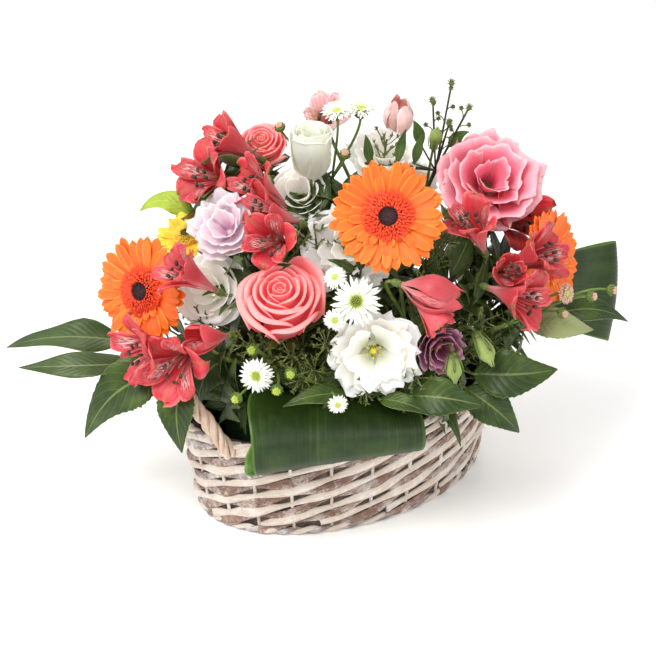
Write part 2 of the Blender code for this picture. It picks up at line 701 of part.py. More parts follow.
def oval_solid(rings, sides, power=2.0):
    """A closed solid from (half length, half width, height) rings, with flat ends."""
    points = [np.array([0.0, 0.0, rings[0][2]])]
    for a, b, z in rings:
        for s in range(sides):
            c, n = math.cos(2 * math.pi * s / sides), math.sin(2 * math.pi * s / sides)
            reach = (abs(c) ** power + abs(n) ** power) ** (-1 / power)
            points.append(np.array([a * c * reach, b * n * reach, z]))
    points.append(np.array([0.0, 0.0, rings[-1][2]]))
    faces = []
    for s in range(sides):
        t = (s + 1) % sides
        faces.append((0, 1 + t, 1 + s))
        for k in range(len(rings) - 1):
            a, b = 1 + k * sides + s, 1 + k * sides + t
            faces += [(a, b, b + sides), (a, b + sides, a + sides)]
        last = 1 + (len(rings) - 1) * sides
        faces.append((last + s, last + t, len(points) - 1))
    return np.array(points), faces


def liner_shape():
    low, high = FLOOR_T + GAP, BASKET_H - 6.0
    edge = WALL + 1.2
    rings = [(*wall_radii(low, edge), low), (*wall_radii(high, edge), high)]
    rings += [(*wall_radii(high, edge + LINER_T), high), (*wall_radii(low, edge + LINER_T), low + LINER_T)]
    return oval_solid(rings, 24)


def foam_shape():
    low = FLOOR_T + 2 * GAP + LINER_T
    a, b, top = FOAM_A, FOAM_B, FOAM_TOP
    return oval_solid([(a - 3, b - 3, low), (a, b, top - 14), (a - 14, b - 14, top)], 16, 3.0)


def handle_shape(side):
    """A loop of twisted splits standing on the rim at one end, leaning out."""
    foot, high = 126.0 * side, 46.0
    bend = [(foot, -high, 84), (168.0 * side, -high * 0.9, 164), (168.0 * side, high * 0.9, 164), (foot, high, 84)]
    return tube_solid([bezier(bend, k / 13) for k in range(14)], 6.0, 6, 0.16, 480)


def leafy_stem(name, colour, fork, leaves):
    start = place(*fork)
    shapes = [trunk(start, 1.8, 3.4)]
    for base, middle, tip, width, look in leaves:
        teeth = 0.09 if colour == "leaf" else 0.0
        shapes.append(leaf(start, place(*base), place(*middle), place(*tip), width, look, teeth))
    return fuse(name, shapes, colour)


def build_lisianthus():
    made = {}
    for name, colour, centre, look, radius, depth, opening in LISIANTHUS:
        rings, inward = lisianthus_rings(radius, depth, opening)
        rings = moved_rings(rings, axes_on(facing(*look), 17.0 * len(made)), place(*centre))
        made[name] = mesh_object("lisianthus_" + name, skin(rings, inward), colour)
    return made


def build_lisianthus_stems():
    heads = {row[0]: row for row in LISIANTHUS}
    made = []
    for name, fork, blooms, buds in LISIANTHUS_STEMS:
        fork = place(*fork)
        shapes = [trunk(fork)]
        for bloom in blooms:
            _, _, centre, look, radius, depth, _ = heads[bloom]
            look = facing(*look)
            back = place(*centre) - look * (depth + GAP)
            shapes.append(branch(fork, back, look, 8.0, calyx_rings(4.8, 8.0), 1.6))
        for point, look, radius, length in buds:
            look = facing(*look)
            foot = place(*point) - look * length * 0.5
            shapes.append(branch(fork, foot, look, 0.0, bud_rings(radius, length), 1.2, 3))
        made.append(fuse(name, shapes, "stem"))
    return made


def build_alstroemeria():
    made = []
    for name, colour, fork, blooms in ALSTROEMERIA:
        fork = place(*fork)
        shapes = [trunk(fork)]
        for k, (centre, look, radius, opening) in enumerate(blooms):
            back = alstroemeria_length(radius, opening)
            rings = alstroemeria_rings(radius, opening)
            shapes.append(branch(fork, place(*centre), facing(*look), back, rings, 1.5, 4, 3, 25.0 * k))
        made.append(fuse(name, shapes, colour))
    return made


def build_asters():
    made = []
    for name, fork, heads in ASTERS:
        fork = place(*fork)
        shapes = [trunk(fork, 1.6, 3.2)]
        for centre, look, radius in heads:
            rings = aster_rings(radius) if radius > 6 else bud_rings(radius, 1.9 * radius)
            back = 0.5 * radius if radius > 6 else 0.0
            shapes.append(branch(fork, place(*centre), facing(*look), back, rings, 1.1, 3))
        made.append(fuse(name, shapes, "aster"))
    return made


def build_filler():
    fork = place(*FILLER_FORK)
    shapes = [trunk(fork, 1.6, 3.2)]
    for point in FILLER_TWIGS:
        top = place(*point)
        shapes.append(branch(fork, top, unit(top - fork), 0.0, bud_rings(4.4, 8.0), 1.1, 3, 2))
    for base, tip, width in FILLER_LEAVES:
        base, tip = place(*base), place(*tip)
        middle = base * 0.5 + tip * 0.5 + np.array([0.0, 0.0, 4.0])
        shapes.append(leaf(fork, base, middle, tip, width, (0, 30), 0.0, 4))
    return fuse("filler_twigs", shapes, "filler")


def aspidistra_front():
    """A broad leaf bent over the rim in front and rolled back under itself, tighter and nearer the wall to the right."""
    rolled = [(-66, 130), (-92, 138), (-118, 136), (-136, 121), (-139, 100), (-129, 86), (-118, 90), (-115, 104)]
    left, right = np.array([-122.0, 112.0]), np.array([-90.0, 102.0])  # middles of the roll at its ends
    surface = []
    for k, point in enumerate(np.array(rolled) - (-118, 112)):
        half = 50 + 25 * math.sin(math.pi * (k + 1) / (len(rolled) + 1))
        row = []
        for share in (0.0, 0.25, 0.5, 0.75, 1.0):
            middle = left + (right - left) * share
            back, up = middle + point * (1 - 0.38 * share)
            row.append(place(-8 + (2 * share - 1) * half, back, up))
        surface.append(row)
    return mesh_object("aspidistra_front", sheet_solid(surface, 0.9), "aspidistra")


def aspidistra_side(name, foot, path, width, across):
    """A broad leaf on its stalk, folded back on itself: path is its midrib, across the way of its width."""
    foot = place(*foot)
    path = [place(*p) for p in path]
    across = unit(place(*across))
    surface = []
    for k in range(8):
        t = k / 7
        mid = bezier(path, t)
        ahead = unit(bezier(path, min(t + 0.02, 1)) - bezier(path, max(t - 0.02, 0)))
        side = unit(across - ahead * (across @ ahead))
        face = np.cross(side, ahead)
        half = max(0.5 * width * math.sin(math.pi * (0.06 + 0.8 * t)) ** 0.6, 1.5)
        surface.append([mid + side * half * s + face * 0.1 * (s * s - 0.4) * half for s in (-1.0, -0.36, 0.36, 1.0)])
    link = tube_solid([foot, path[0] * 0.5 + foot * 0.5, path[0] * 0.94 + path[1] * 0.06], 2.0, 4)
    return fuse(name, [trunk(foot), link, sheet_solid(surface, 0.9)], "aspidistra")


def build_gerberas():
    stems, heads = [], []
    for k, (name, centre, look, radius) in enumerate(GERBERAS):
        centre, look = place(*centre), facing(*look)
        frame = axes_on(look, 11.0 * k)
        cup = [level_ring(8, 0.24 * radius, -8.0), level_ring(8, 0.3 * radius, -1.8)]
        path = stem_path(centre - look * 14, look, None, 4)
        shape = headed(path, 2.8, 5, cup, (), frame, centre)
        stems.append(mesh_object(name + "_stem", shape, "stem"))
        rings, inward = gerbera_rings(radius)
        colour = "yellow" if name.endswith("yellow") else "gerbera"
        heads.append(mesh_object(name + "_rays", skin(moved_rings(rings, frame, centre), inward), colour))
        eye = skin(moved_rings(gerbera_eye_rings(radius), frame, centre))
        heads.append(mesh_object(name + "_eye", eye, "gerbera_eye"))
    return stems, heads


def build_roses():
    stems, heads = [], []
    for name, centre, look, radius, depth in ROSES:
        centre, look = place(*centre), facing(*look)
        frame = axes_on(look)
        back = centre - look * (depth + GAP)
        path = stem_path(back - look * 9, look, None, 3)
        cup, _ = calyx_rings(6.0, 9.0)
        stems.append(mesh_object(name + "_stem", headed(path, 2.4, 5, cup, (), frame, back), "stem"))
        rings, inward = rose_rings(radius, depth)
        heads.append(mesh_object(name + "_petals", skin(moved_rings(rings, frame, centre), inward), "rose"))
    return stems, heads


def main():
    for obj in list(bpy.data.objects):
        bpy.data.objects.remove(obj)
    basket = mesh_object("basket", basket_shape(), "willow")
    liner = mesh_object("liner", liner_shape(), "film")
    handles = [mesh_object(n, handle_shape(s), "rope") for n, s in (("handle_left", -1), ("handle_right", 1))]
    gerbera_stems, gerberas = build_gerberas()
    rose_stems, roses = build_roses()
    lisianthus_stems = build_lisianthus_stems()
    lisianthus = build_lisianthus()
    leaves = [leafy_stem(*row) for row in LEAVES]
    aspidistra = [
        aspidistra_front(),
        aspidistra_side(
            "aspidistra_right", (116, 26, 164),
            [(150, 34, 168), (200, 28, 160), (300, 52, 150), (222, 80, 140), (178, 74, 136)], 88, (4, 26, 60),
        ),
    ]
    order = [basket, liner] + handles + gerbera_stems + rose_stems + lisianthus_stems
    order += gerberas + roses + build_alstroemeria() + list(lisianthus.values())
    order += build_asters() + [build_filler()] + aspidistra + leaves
    order.append(mesh_object("foam", foam_shape(), "foam"))
    trim(order)
    for obj in order:
        obj.data.shade_smooth()
        obj.data.set_sharp_from_angle(angle=math.radians(40))


main()
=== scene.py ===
"""The looks of the flower basket arrangement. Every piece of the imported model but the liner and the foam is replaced
by a finer one in the same place: shapes are worked out in millimetres, with the construction's own layout, and made
into meshes in metres."""

import functools
import math
import zlib

import bpy
import numpy as np
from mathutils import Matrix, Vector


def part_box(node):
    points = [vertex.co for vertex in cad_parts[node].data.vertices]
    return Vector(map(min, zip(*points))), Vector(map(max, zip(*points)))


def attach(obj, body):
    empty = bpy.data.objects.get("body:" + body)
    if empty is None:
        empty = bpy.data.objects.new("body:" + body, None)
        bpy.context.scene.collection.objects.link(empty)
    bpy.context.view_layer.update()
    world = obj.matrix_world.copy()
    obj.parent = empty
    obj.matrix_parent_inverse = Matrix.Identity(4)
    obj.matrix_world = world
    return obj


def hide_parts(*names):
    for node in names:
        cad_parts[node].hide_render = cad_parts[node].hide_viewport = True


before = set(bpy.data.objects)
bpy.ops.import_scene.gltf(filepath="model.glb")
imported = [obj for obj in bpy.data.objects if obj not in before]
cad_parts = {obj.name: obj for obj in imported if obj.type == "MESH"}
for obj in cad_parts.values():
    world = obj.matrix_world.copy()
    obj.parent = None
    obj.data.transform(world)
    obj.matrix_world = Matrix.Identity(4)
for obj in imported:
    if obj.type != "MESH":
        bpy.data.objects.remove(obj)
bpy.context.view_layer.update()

MM = 0.001
TURN = 2 * math.pi
GOLDEN = 2.39996  # the angle from each seed, bud or twig to the next, which fills a disc evenly
FRONT_TURN = math.radians(-28.0)  # the arrangement's front, turned from the basket's broad side
HEART = np.array([0.0, 0.0, 84.0])  # where every stem in the foam points
SEAT = np.array([76.0, 44.0, 34.0])  # half sizes of the ellipsoid in the foam on which the stems end
IN_FOAM = 42.0  # the straight foot of a stem, from its seat to outside the foam

RIM_A, RIM_B, BASKET_H = (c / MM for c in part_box("basket")[1])
FOOT_A, FOOT_B, FLOOR_T = 131.0, 83.0, 7.0
SPLIT_PITCH, SPLIT_COUNT, SPLIT_RELIEF = 15.5, 14, 2.6
SPLIT_POINTS = 96  # along a split that climbs the wall
STAKES = 24
THICK = 0.6  # of most petals and leaves
DOME_TWIGS = 168


# ---- frames and vectors ---------------------------------------------------------------------------------------------
def unit(v):
    v = np.asarray(v, float)
    return v / np.linalg.norm(v)


def unit_rows(v):
    return v / np.linalg.norm(v, axis=1, keepdims=True)


def turned(v, angle):
    c, s = math.cos(angle), math.sin(angle)
    return np.array([v[0] * c - v[1] * s, v[0] * s + v[1] * c, v[2]])


def place(right, back, up):
    """A point given from the arrangement's front: to its right, away from the viewer, and up."""
    return turned(np.array([right, back, up], float), FRONT_TURN)


def facing(turn, rise):
    """The way a bloom looks: turn degrees to the right of the arrangement's front, and rise above level."""
    t, r = math.radians(turn), math.radians(rise)
    return turned(np.array([math.sin(t) * math.cos(r), -math.cos(t) * math.cos(r), math.sin(r)]), FRONT_TURN)


def axes_on(axis, roll=0.0):
    """Columns x, y, z of a frame whose z is the axis, and whose y points as far up as it can, then rolled."""
    z = unit(axis)
    up = np.array([0.0, 0.0, 1.0]) if abs(z[2]) < 0.97 else np.array([0.0, 1.0, 0.0])
    x = unit(np.cross(up, z))
    y = np.cross(z, x)
    c, s = math.cos(math.radians(roll)), math.sin(math.radians(roll))
    return np.column_stack([x * c + y * s, y * c - x * s, z])


def put(points, spot):
    """Points of a bloom's own frame, moved to its spot: that frame's axes and its origin."""
    return points @ spot[0].T + spot[1]


def ring(angle, r=1.0, z=0.0):
    return np.array([r * math.cos(angle), r * math.sin(angle), z])


def seeds(count, radius):
    """Distance and angle of places spread evenly over a disc, from its middle out."""
    return [(radius * math.sqrt((k + 0.5) / count), GOLDEN * k) for k in range(count)]


def grid(rows, cols):
    """Shares from root to tip, 0 to 1 in a column, and from edge to edge, -1 to 1 in a row."""
    return np.linspace(0, 1, rows)[:, None], np.linspace(-1, 1, cols)[None, :]


def bezier(points, t):
    """Points of the Bezier curve through these control points, for t from 0 to 1, one number or many."""
    t = np.asarray(t, float)[..., None]
    points = [np.asarray(p, float) for p in points]
    while len(points) > 1:
        points = [a * (1 - t) + b * t for a, b in zip(points, points[1:])]
    return points[0]


def smooth(x, low=0.0, high=1.0):
    x = np.clip((np.asarray(x, float) - low) / (high - low), 0.0, 1.0)
    return x * x * (3 - 2 * x)


def spline(points, steps):
    """A smooth curve through these points: Catmull-Rom, with this many steps to each span."""
    points = np.asarray(points, float)
    ends = np.concatenate([[2 * points[0] - points[1]], points, [2 * points[-1] - points[-2]]])
    found = []
    for k in range(1, len(ends) - 2):
        a, b, c, d = ends[k - 1:k + 3]
        t = np.linspace(0, 1, steps, endpoint=False)[:, None]
        found.append(0.5 * (2 * b + (c - a) * t + (2 * a - 5 * b + 4 * c - d) * t**2 + (3 * b - a - 3 * c + d) * t**3))
    return np.concatenate(found + [points[-1:]])


def course(path):
    """The way a line runs, at each of its points."""
    return unit_rows(np.gradient(path, axis=0))


def dice(name):
    """A random generator that is the same each run, and its own for each piece."""
    return np.random.default_rng(zlib.crc32(name.encode()))


def phases(rng, count=None):
    """Where waves start: an angle for each, all round a turn."""
    return 6.28 * rng.random(count)


# ---- meshes ---------------------------------------------------------------------------------------------------------
@functools.cache
def sheet_quads(rows, cols):
    """Quads of a two-sided sheet: its upper face, its under face and its rim."""
    at = np.arange(rows * cols).reshape(rows, cols)
    upper = np.stack([at[:-1, :-1], at[1:, :-1], at[1:, 1:], at[:-1, 1:]], axis=-1).reshape(-1, 4)
    count = rows * cols
    loop = np.concatenate([at[:-1, 0], at[-1, :-1], at[:0:-1, -1], at[0, :0:-1]])
    after = np.roll(loop, -1)
    rim = np.stack([after, loop, loop + count, after + count], axis=-1)
    return np.concatenate([upper, upper[:, ::-1] + count, rim])


@functools.cache
def tube_quads(rows, sides):
    at = np.arange(rows * sides).reshape(rows, sides)
    after = np.roll(at, -1, axis=1)
    return np.stack([at[:-1], after[:-1], after[1:], at[1:]], axis=-1).reshape(-1, 4)


def normals_of(surface):
    normal = np.cross(np.gradient(surface, axis=0), np.gradient(surface, axis=1))
    return normal / np.maximum(np.linalg.norm(normal, axis=2, keepdims=True), 1e-9)


class Shapes:
    """Sheets and tubes gathered for one mesh. At each point they say how far along and across it is, the petal's or
    stem's own tone, drawn if none is given, whether it is on the underside, and a kind that tells petals apart."""

    MARKS = ("along", "across", "tone", "under", "kind")

    def __init__(self, rng):
        self.rng = rng
        self.points, self.quads, self.caps, self.marks, self.count = [], [], [], [], 0

    def add(self, points, quads, caps, along, across, tone, under, kind):
        tone = self.rng.random() if tone is None else tone
        self.points.append(points)
        self.quads.append(quads + self.count)
        self.caps += [cap + self.count for cap in caps]
        marks = (along, across, tone, under, kind)
        self.marks.append(np.column_stack([np.broadcast_to(m, len(points)) for m in marks]))
        self.count += len(points)

    def add_rings(self, points, rows, sides, tone, kind):
        first = np.arange(sides)
        along = np.repeat(np.linspace(0, 1, rows), sides)
        across = np.tile(np.linspace(-1, 1, sides, endpoint=False), rows)
        caps = [first[::-1], first + (rows - 1) * sides]
        self.add(points, tube_quads(rows, sides), caps, along, across, tone, 0.0, kind)

    def sheet(self, surface, thick, spot=None, tone=None, kind=0.0, thin_edge=0.35):
        """A closed sheet round a grid of points, which runs from root to tip and from right to left."""
        if spot is not None:
            surface = put(surface, spot)
        rows, cols = surface.shape[:2]
        t, s = np.meshgrid(np.linspace(0, 1, rows), np.linspace(-1, 1, cols), indexing="ij")
        edge = np.maximum(np.abs(s) ** 6, t**8)
        half = normals_of(surface) * (0.5 * thick * (1 - (1 - thin_edge) * edge))[..., None]
        points = np.concatenate([(surface + half).reshape(-1, 3), (surface - half).reshape(-1, 3)])
        under = np.repeat([0.0, 1.0], rows * cols)
        self.add(points, sheet_quads(rows, cols), [], np.tile(t.ravel(), 2), np.tile(s.ravel(), 2), tone, under, kind)

    def tube(self, path, out, over, sides=8, tone=None, kind=0.0, side=None):
        """A closed tube along a path, with half widths out and over along its side and square to it."""
        path = np.asarray(path, float)
        count = len(path)
        out, over = np.broadcast_to(out, count), np.broadcast_to(over, count)
        ahead = course(path)
        if side is None:
            side = np.empty_like(path)
            last = axes_on(ahead[0])[:, 0]
            for k, way in enumerate(ahead):
                last = unit(last - way * (last @ way))
                side[k] = last
        else:
            side = unit_rows(side - ahead * np.sum(side * ahead, axis=1, keepdims=True))
        angle = np.linspace(0, TURN, sides, endpoint=False)[None, :]
        rings = (path[:, None] + (out[:, None] * np.cos(angle))[..., None] * side[:, None]
                 + (over[:, None] * np.sin(angle))[..., None] * np.cross(ahead, side)[:, None])
        self.add_rings(rings.reshape(-1, 3), count, sides, tone, kind)

    def turned_shape(self, profile, sides, spot, tone=None, kind=0.0):
        """A closed shape turned round z from (radius, height) points, from its lower end to its upper end."""
        profile = np.asarray(profile, float)
        r, z = profile[:, :1], np.repeat(profile[:, 1:], sides, axis=1)
        angle = np.linspace(0, TURN, sides, endpoint=False)
        rings = np.stack([r * np.cos(angle), r * np.sin(angle), z], axis=-1)
        self.add_rings(put(rings.reshape(-1, 3), spot), len(profile), sides, tone, kind)

    def make(self, name, look, slot, *stands_for):
        """The mesh object, riding on the basket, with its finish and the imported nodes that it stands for."""
        points = np.concatenate(self.points) * MM
        quads = np.concatenate(self.quads)
        loops = np.concatenate([quads.ravel()] + self.caps).astype(np.int32)
        totals = np.concatenate([np.full(len(quads), 4), [len(cap) for cap in self.caps]]).astype(np.int32)
        mesh = bpy.data.meshes.new(name)
        mesh.vertices.add(len(points))
        mesh.vertices.foreach_set("co", points.astype(np.float32).ravel())
        mesh.loops.add(len(loops))
        mesh.loops.foreach_set("vertex_index", loops)
        mesh.polygons.add(len(totals))
        mesh.polygons.foreach_set("loop_start", (np.cumsum(totals) - totals).astype(np.int32))
        mesh.update(calc_edges=True)
        marks = np.concatenate(self.marks).astype(np.float32)
        for k, mark in enumerate(self.MARKS):
            mesh.attributes.new(mark, "FLOAT", "POINT").data.foreach_set("value", np.ascontiguousarray(marks[:, k]))
        mesh.materials.append(LOOKS[look])
        mesh.shade_smooth()
        mesh.validate()
        made = bpy.data.objects.new(name, mesh)
        bpy.context.scene.collection.objects.link(made)
        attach(made, "root")
        if stands_for:
            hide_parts(*stands_for)


# ---- materials ------------------------------------------------------------------------------------------------------
def colour(code):
    """Linear red, green and blue, and alpha, of an sRGB code such as ff8800."""
    values = [int(code[k:k + 2], 16) / 255 for k in (0, 2, 4)]
    return tuple(v / 12.92 if v < 0.04045 else ((v + 0.055) / 1.055) ** 2.4 for v in values) + (1.0,)


class Look:
    """A node material, with short calls for the nodes that the looks below share. Its colour is found step by step:
    each tint lies over what was found before it. A value is a number, a colour's code or another node's output."""

    def __init__(self, name, roughness=0.5, **sockets):
        self.material = bpy.data.materials.new(name)
        self.material.use_nodes = True
        self.tree = self.material.node_tree
        self.shader = self.tree.nodes["Principled BSDF"].inputs
        for socket, value in {"Roughness": roughness, **sockets}.items():
            self.link(value, self.shader[socket.replace("_", " ")])

    def link(self, value, socket):
        if isinstance(value, bpy.types.NodeSocket):
            self.tree.links.new(value, socket)
        else:
            socket.default_value = colour(value) if isinstance(value, str) else value

    def node(self, kind, output, inputs, **settings):
        made = self.tree.nodes.new(kind)
        for key, value in settings.items():
            setattr(made, key, value)
        for key, value in inputs.items():
            self.link(value, made.inputs[key])
        return made.outputs[output]

    def mark(self, name):
        return self.node("ShaderNodeAttribute", "Fac", {}, attribute_name=name)

    def math(self, operation, a, b=0.0):
        return self.node("ShaderNodeMath", 0, {0: a, 1: b}, operation=operation)

    def times(self, a, b):
        return self.math("MULTIPLY", a, b)

    def away(self):
        """How far from the midrib: 0 there and 1 at either edge."""
        return self.math("ABSOLUTE", self.mark("across"))

    def step(self, value, low, high):
        """0 below low and 1 above high, smooth between them; high may be the lower one."""
        first, last = (1.0, 0.0) if high < low else (0.0, 1.0)
        limits = {"From Min": min(low, high), "From Max": max(low, high), "To Min": first, "To Max": last}
        return self.node("ShaderNodeMapRange", "Result", {"Value": value, **limits}, interpolation_type="SMOOTHSTEP")

    def scaled(self, value, low, high):
        return self.node("ShaderNodeMapRange", "Result", {"Value": value, "To Min": low, "To Max": high})

    def mix(self, factor, a, b, blend="MIX"):
        return self.node("ShaderNodeMix", 2, {0: factor, 6: a, 7: b}, data_type="RGBA", blend_type=blend)

    def tint(self, mask, value, share=None):
        self.found = self.mix(mask if share is None else self.times(mask, share), self.found, value)

    def shade(self, light):
        self.found = self.mix(1.0, self.found, self.combine(light, light, light), "MULTIPLY")

    def combine(self, x, y, z):
        return self.node("ShaderNodeCombineXYZ", 0, {0: x, 1: y, 2: z})

    def noise(self, scale, detail=3.0, vector=None, roughness=0.55):
        if vector is None:
            vector = self.node("ShaderNodeTexCoord", "Object", {})
        values = {"Scale": scale, "Detail": detail, "Roughness": roughness, "Vector": vector}
        return self.node("ShaderNodeTexNoise", "Fac", values)

    def streaks(self, fine, long, detail=2.0, spread=61.0, roughness=0.55):
        """Noise drawn out from root to tip: fine is how often it changes across, long along."""
        across, along = self.times(self.mark("across"), fine), self.times(self.mark("along"), long)
        return self.noise(1.0, detail, self.combine(across, along, self.times(self.mark("tone"), spread)), roughness)

    def done(self, height, distance, strength):
        """The material, with the colour that was found and a bump of this height."""
        values = {"Strength": strength, "Distance": distance, "Height": height}
        self.link(self.node("ShaderNodeBump", "Normal", values), self.shader["Normal"])
        self.link(self.found, self.shader["Base Color"])
        return self.material


def petal_look(name, root, body, edge, under, vein, vein_strength=0.35, tone_range=0.16, soft=0.25, depth=0.004,
               painted_glow=0.0):
    """A petal: its root and its edge differ from its body, veins run along it, and petals differ from each other. Its
    glow in the body colour, when given, is painted light that lifts the petals' shade.
    """
    # emission in the body colour: painted light, a glow that lifts the petals' shade
    made = Look(name, 0.55, Subsurface_Weight=soft, Subsurface_Scale=depth, Subsurface_Radius=(1.0, 0.7, 0.5),
                Sheen_Weight=0.06, Emission_Color=body, Emission_Strength=painted_glow)
    along, lines = made.mark("along"), made.streaks(26.0, 1.4)
    made.found = made.mix(made.step(along, 0.05, 0.5), root, body)
    made.tint(made.math("MAXIMUM", made.step(along, 0.72, 1.0), made.step(made.away(), 0.8, 1.05)), edge)
    made.tint(made.mark("under"), under, 0.85)
    made.tint(made.step(lines, 0.52, 0.72), vein, vein_strength)
    made.shade(made.scaled(made.mark("tone"), 1.0 - tone_range, 1.0))
    made.tint(made.step(made.noise(90.0, 2.0), 0.25, 0.8), body, 0.25)
    return made.done(lines, 0.00025, 0.5)


def rose_look():
    """Pink petals, coral deep in the heart, with pale rims that catch the light, a painted highlight, and duller backs.
    Their coral emission is painted light that lifts the bloom's shade.
    """
    # the coral emission is painted light that lifts the shade in the bloom
    made = Look("rose", 0.5, Subsurface_Weight=0.2, Subsurface_Scale=0.004, Sheen_Weight=0.05,
                Emission_Color="ff7c80", Emission_Strength=0.1)
    along, lines = made.mark("along"), made.streaks(20.0, 1.2)
    heart = made.math("ADD", 0.6, made.times(made.mark("kind"), 0.4))
    made.found = made.mix(made.times(made.step(along, 0.85, 0.35), heart), "ff9c9c", "f2505e")
    # paler rims: a painted highlight where they catch the light
    made.tint(made.step(along, 0.78, 0.98), "ffccc4", 0.85)
    made.tint(made.mark("under"), made.mix(made.step(along, 0.45, 0.9), "e07a80", "ffa8a0"), 0.85)
    made.tint(made.step(lines, 0.5, 0.75), "f0606e", 0.18)
    made.tint(made.step(made.noise(70.0, 3.0), 0.4, 0.8), "ffa6a0", 0.25)
    return made.done(lines, 0.0002, 0.4)


def aster_look():
    """White rays, greener at their feet. Those of buds, of kind 0.5, are lime, and of some, of kind 1, dull pink."""
    made = Look("aster_ray", 0.55, Subsurface_Weight=0.15, Subsurface_Scale=0.002)
    along, kind, lines = made.mark("along"), made.mark("kind"), made.streaks(6.0, 1.0)
    made.found = made.mix(made.step(along, 0.05, 0.6), "dce8a8", "fbfcf2")
    made.tint(made.step(kind, 0.2, 0.5), made.mix(along, "7c9a24", "cfe05a"))
    made.tint(made.step(kind, 0.6, 1.0), made.mix(along, "b08a5c", "ecc4b0"))
    made.tint(made.step(lines, 0.45, 0.7), "dfe4c4", 0.2)
    return made.done(lines, 0.0002, 0.5)


def gerbera_look(name, root, body, edge, under):
    made = Look(name, 0.5, Subsurface_Weight=0.2, Subsurface_Scale=0.003, Sheen_Weight=0.1)
    along, lines = made.mark("along"), made.streaks(9.0, 0.8)
    made.found = made.mix(made.step(along, 0.0, 0.55), root, body)
    side = made.times(made.step(made.away(), 0.45, 1.0), 0.75)
    made.tint(made.math("MAXIMUM", side, made.step(along, 0.75, 1.0)), edge)
    made.tint(made.mark("under"), under, 0.8)
    made.tint(made.step(lines, 0.5, 0.75), root, 0.35)
    made.tint(made.mark("tone"), edge, 0.35)
    return made.done(lines, 0.0004, 0.6)


def tepal_look(name, body, deep, edge, blotch, tip, under, streak):
    """A lily-like tepal: crimson along its middle and paler at its edge. The inner ones, of kind 1, have a pale
    throat and dark strokes, and the outer ones greenish tips."""
    made = Look(name, 0.42, Subsurface_Weight=0.35, Subsurface_Scale=0.006, Sheen_Weight=0.05)
    along, kind, away, lines = made.mark("along"), made.mark("kind"), made.away(), made.streaks(13.0, 1.1)
    made.found = made.mix(made.step(lines, 0.3, 0.75), body, deep)
    made.tint(made.times(made.step(away, 0.85, 0.1), made.step(made.noise(60.0, 3.0), 0.3, 0.65)), deep, 0.55)
    made.tint(made.step(away, 0.72, 1.0), edge, 0.6)
    made.tint(made.step(along, 0.4, 0.08), blotch, 0.6)
    throat = made.times(made.step(along, 0.8, 0.55), made.times(made.step(away, 0.8, 0.3), kind))
    made.tint(made.times(throat, made.step(made.streaks(11.0, 10.0), 0.42, 0.56)), blotch, 0.9)
    band = made.times(made.step(along, 0.28, 0.42), made.step(along, 0.95, 0.75))
    strokes = made.times(made.step(made.streaks(19.0, 9.0, 1.0), 0.56, 0.61), band)
    strokes = made.times(strokes, made.math("ADD", 0.3, made.times(kind, 0.7)))
    made.tint(made.times(strokes, made.step(away, 1.0, 0.75)), streak)
    rib = made.times(made.times(made.step(away, 0.26, 0.0), made.step(along, 0.35, 0.9)), 0.5)
    outer = made.times(made.math("SUBTRACT", 1.0, made.times(kind, 0.6)), 0.75)
    made.tint(made.times(made.math("MAXIMUM", made.step(along, 0.9, 1.0), rib), outer), tip)
    made.tint(made.mark("under"), under, 0.6)
    made.shade(made.math("ADD", 0.72, made.times(made.mark("tone"), 0.36)))
    return made.done(lines, 0.0005, 0.7)


def leaf_look(name, upper, dark, under, midrib, veins=9.0, slant=2.4, ribs=0.0, roughness=0.38, vein_mix=0.5):
    """A leaf: a pale midrib with side veins, or long ribs, a paler underside, and light and dark patches."""
    made = Look(name, roughness, Specular_IOR_Level=0.3, Coat_Weight=0.06, Coat_Roughness=0.3)
    away = made.away()
    made.found = made.mix(made.step(made.noise(38.0, 4.0), 0.35, 0.7), dark, upper)
    if ribs:
        wave = made.math("SINE", made.times(made.mark("across"), ribs))
        fine = made.streaks(ribs * 0.8, 0.6, 3.0)
        height = made.math("ADD", made.times(wave, 0.3), fine)
        made.tint(made.step(fine, 0.5, 0.78), midrib, vein_mix)
    else:
        run = made.math("SUBTRACT", made.times(made.mark("along"), veins), made.times(away, slant))
        wave = made.math("ABSOLUTE", made.math("SINE", made.times(run, math.pi)))
        height = made.math("ADD", wave, made.times(made.noise(420.0, 2.0), 0.5))
        made.tint(made.step(wave, 0.16, 0.0), midrib, vein_mix * 0.45)
        made.tint(made.step(away, 0.07, 0.02), midrib, vein_mix)
    made.tint(made.mark("tone"), dark, 0.3)
    pale = under if ribs else made.mix(made.step(away, 0.08, 0.02), under, midrib)
    made.tint(made.math("MAXIMUM", made.mark("under"), made.mark("kind")), pale, 0.92)
    made.tint(made.step(away, 0.95, 1.0), midrib, 0.35)
    made.link(made.scaled(made.noise(60.0, 2.0), roughness - 0.06, roughness + 0.12), made.shader["Roughness"])
    return made.done(height, 0.0005, 0.45)


def stem_look(name, light, dark, roughness=0.45):
    made = Look(name, roughness, Specular_IOR_Level=0.45)
    lines = made.streaks(3.0, 6.0, 3.0)
    made.found = made.mix(made.step(lines, 0.3, 0.7), light, dark)
    made.tint(made.step(made.noise(120.0, 2.0), 0.45, 0.75), dark, 0.5)
    return made.done(lines, 0.0003, 0.5)


def dot_look(name, low, high, roughness=0.7):
    """Small florets, anthers and seeds: darker at their roots, each with its own tone."""
    made = Look(name, roughness)
    made.found = made.mix(made.step(made.mark("along"), 0.2, 1.0), low, high)
    made.tint(made.mark("tone"), low, 0.4)
    return made.done(made.noise(900.0, 2.0), 0.0002, 0.6)


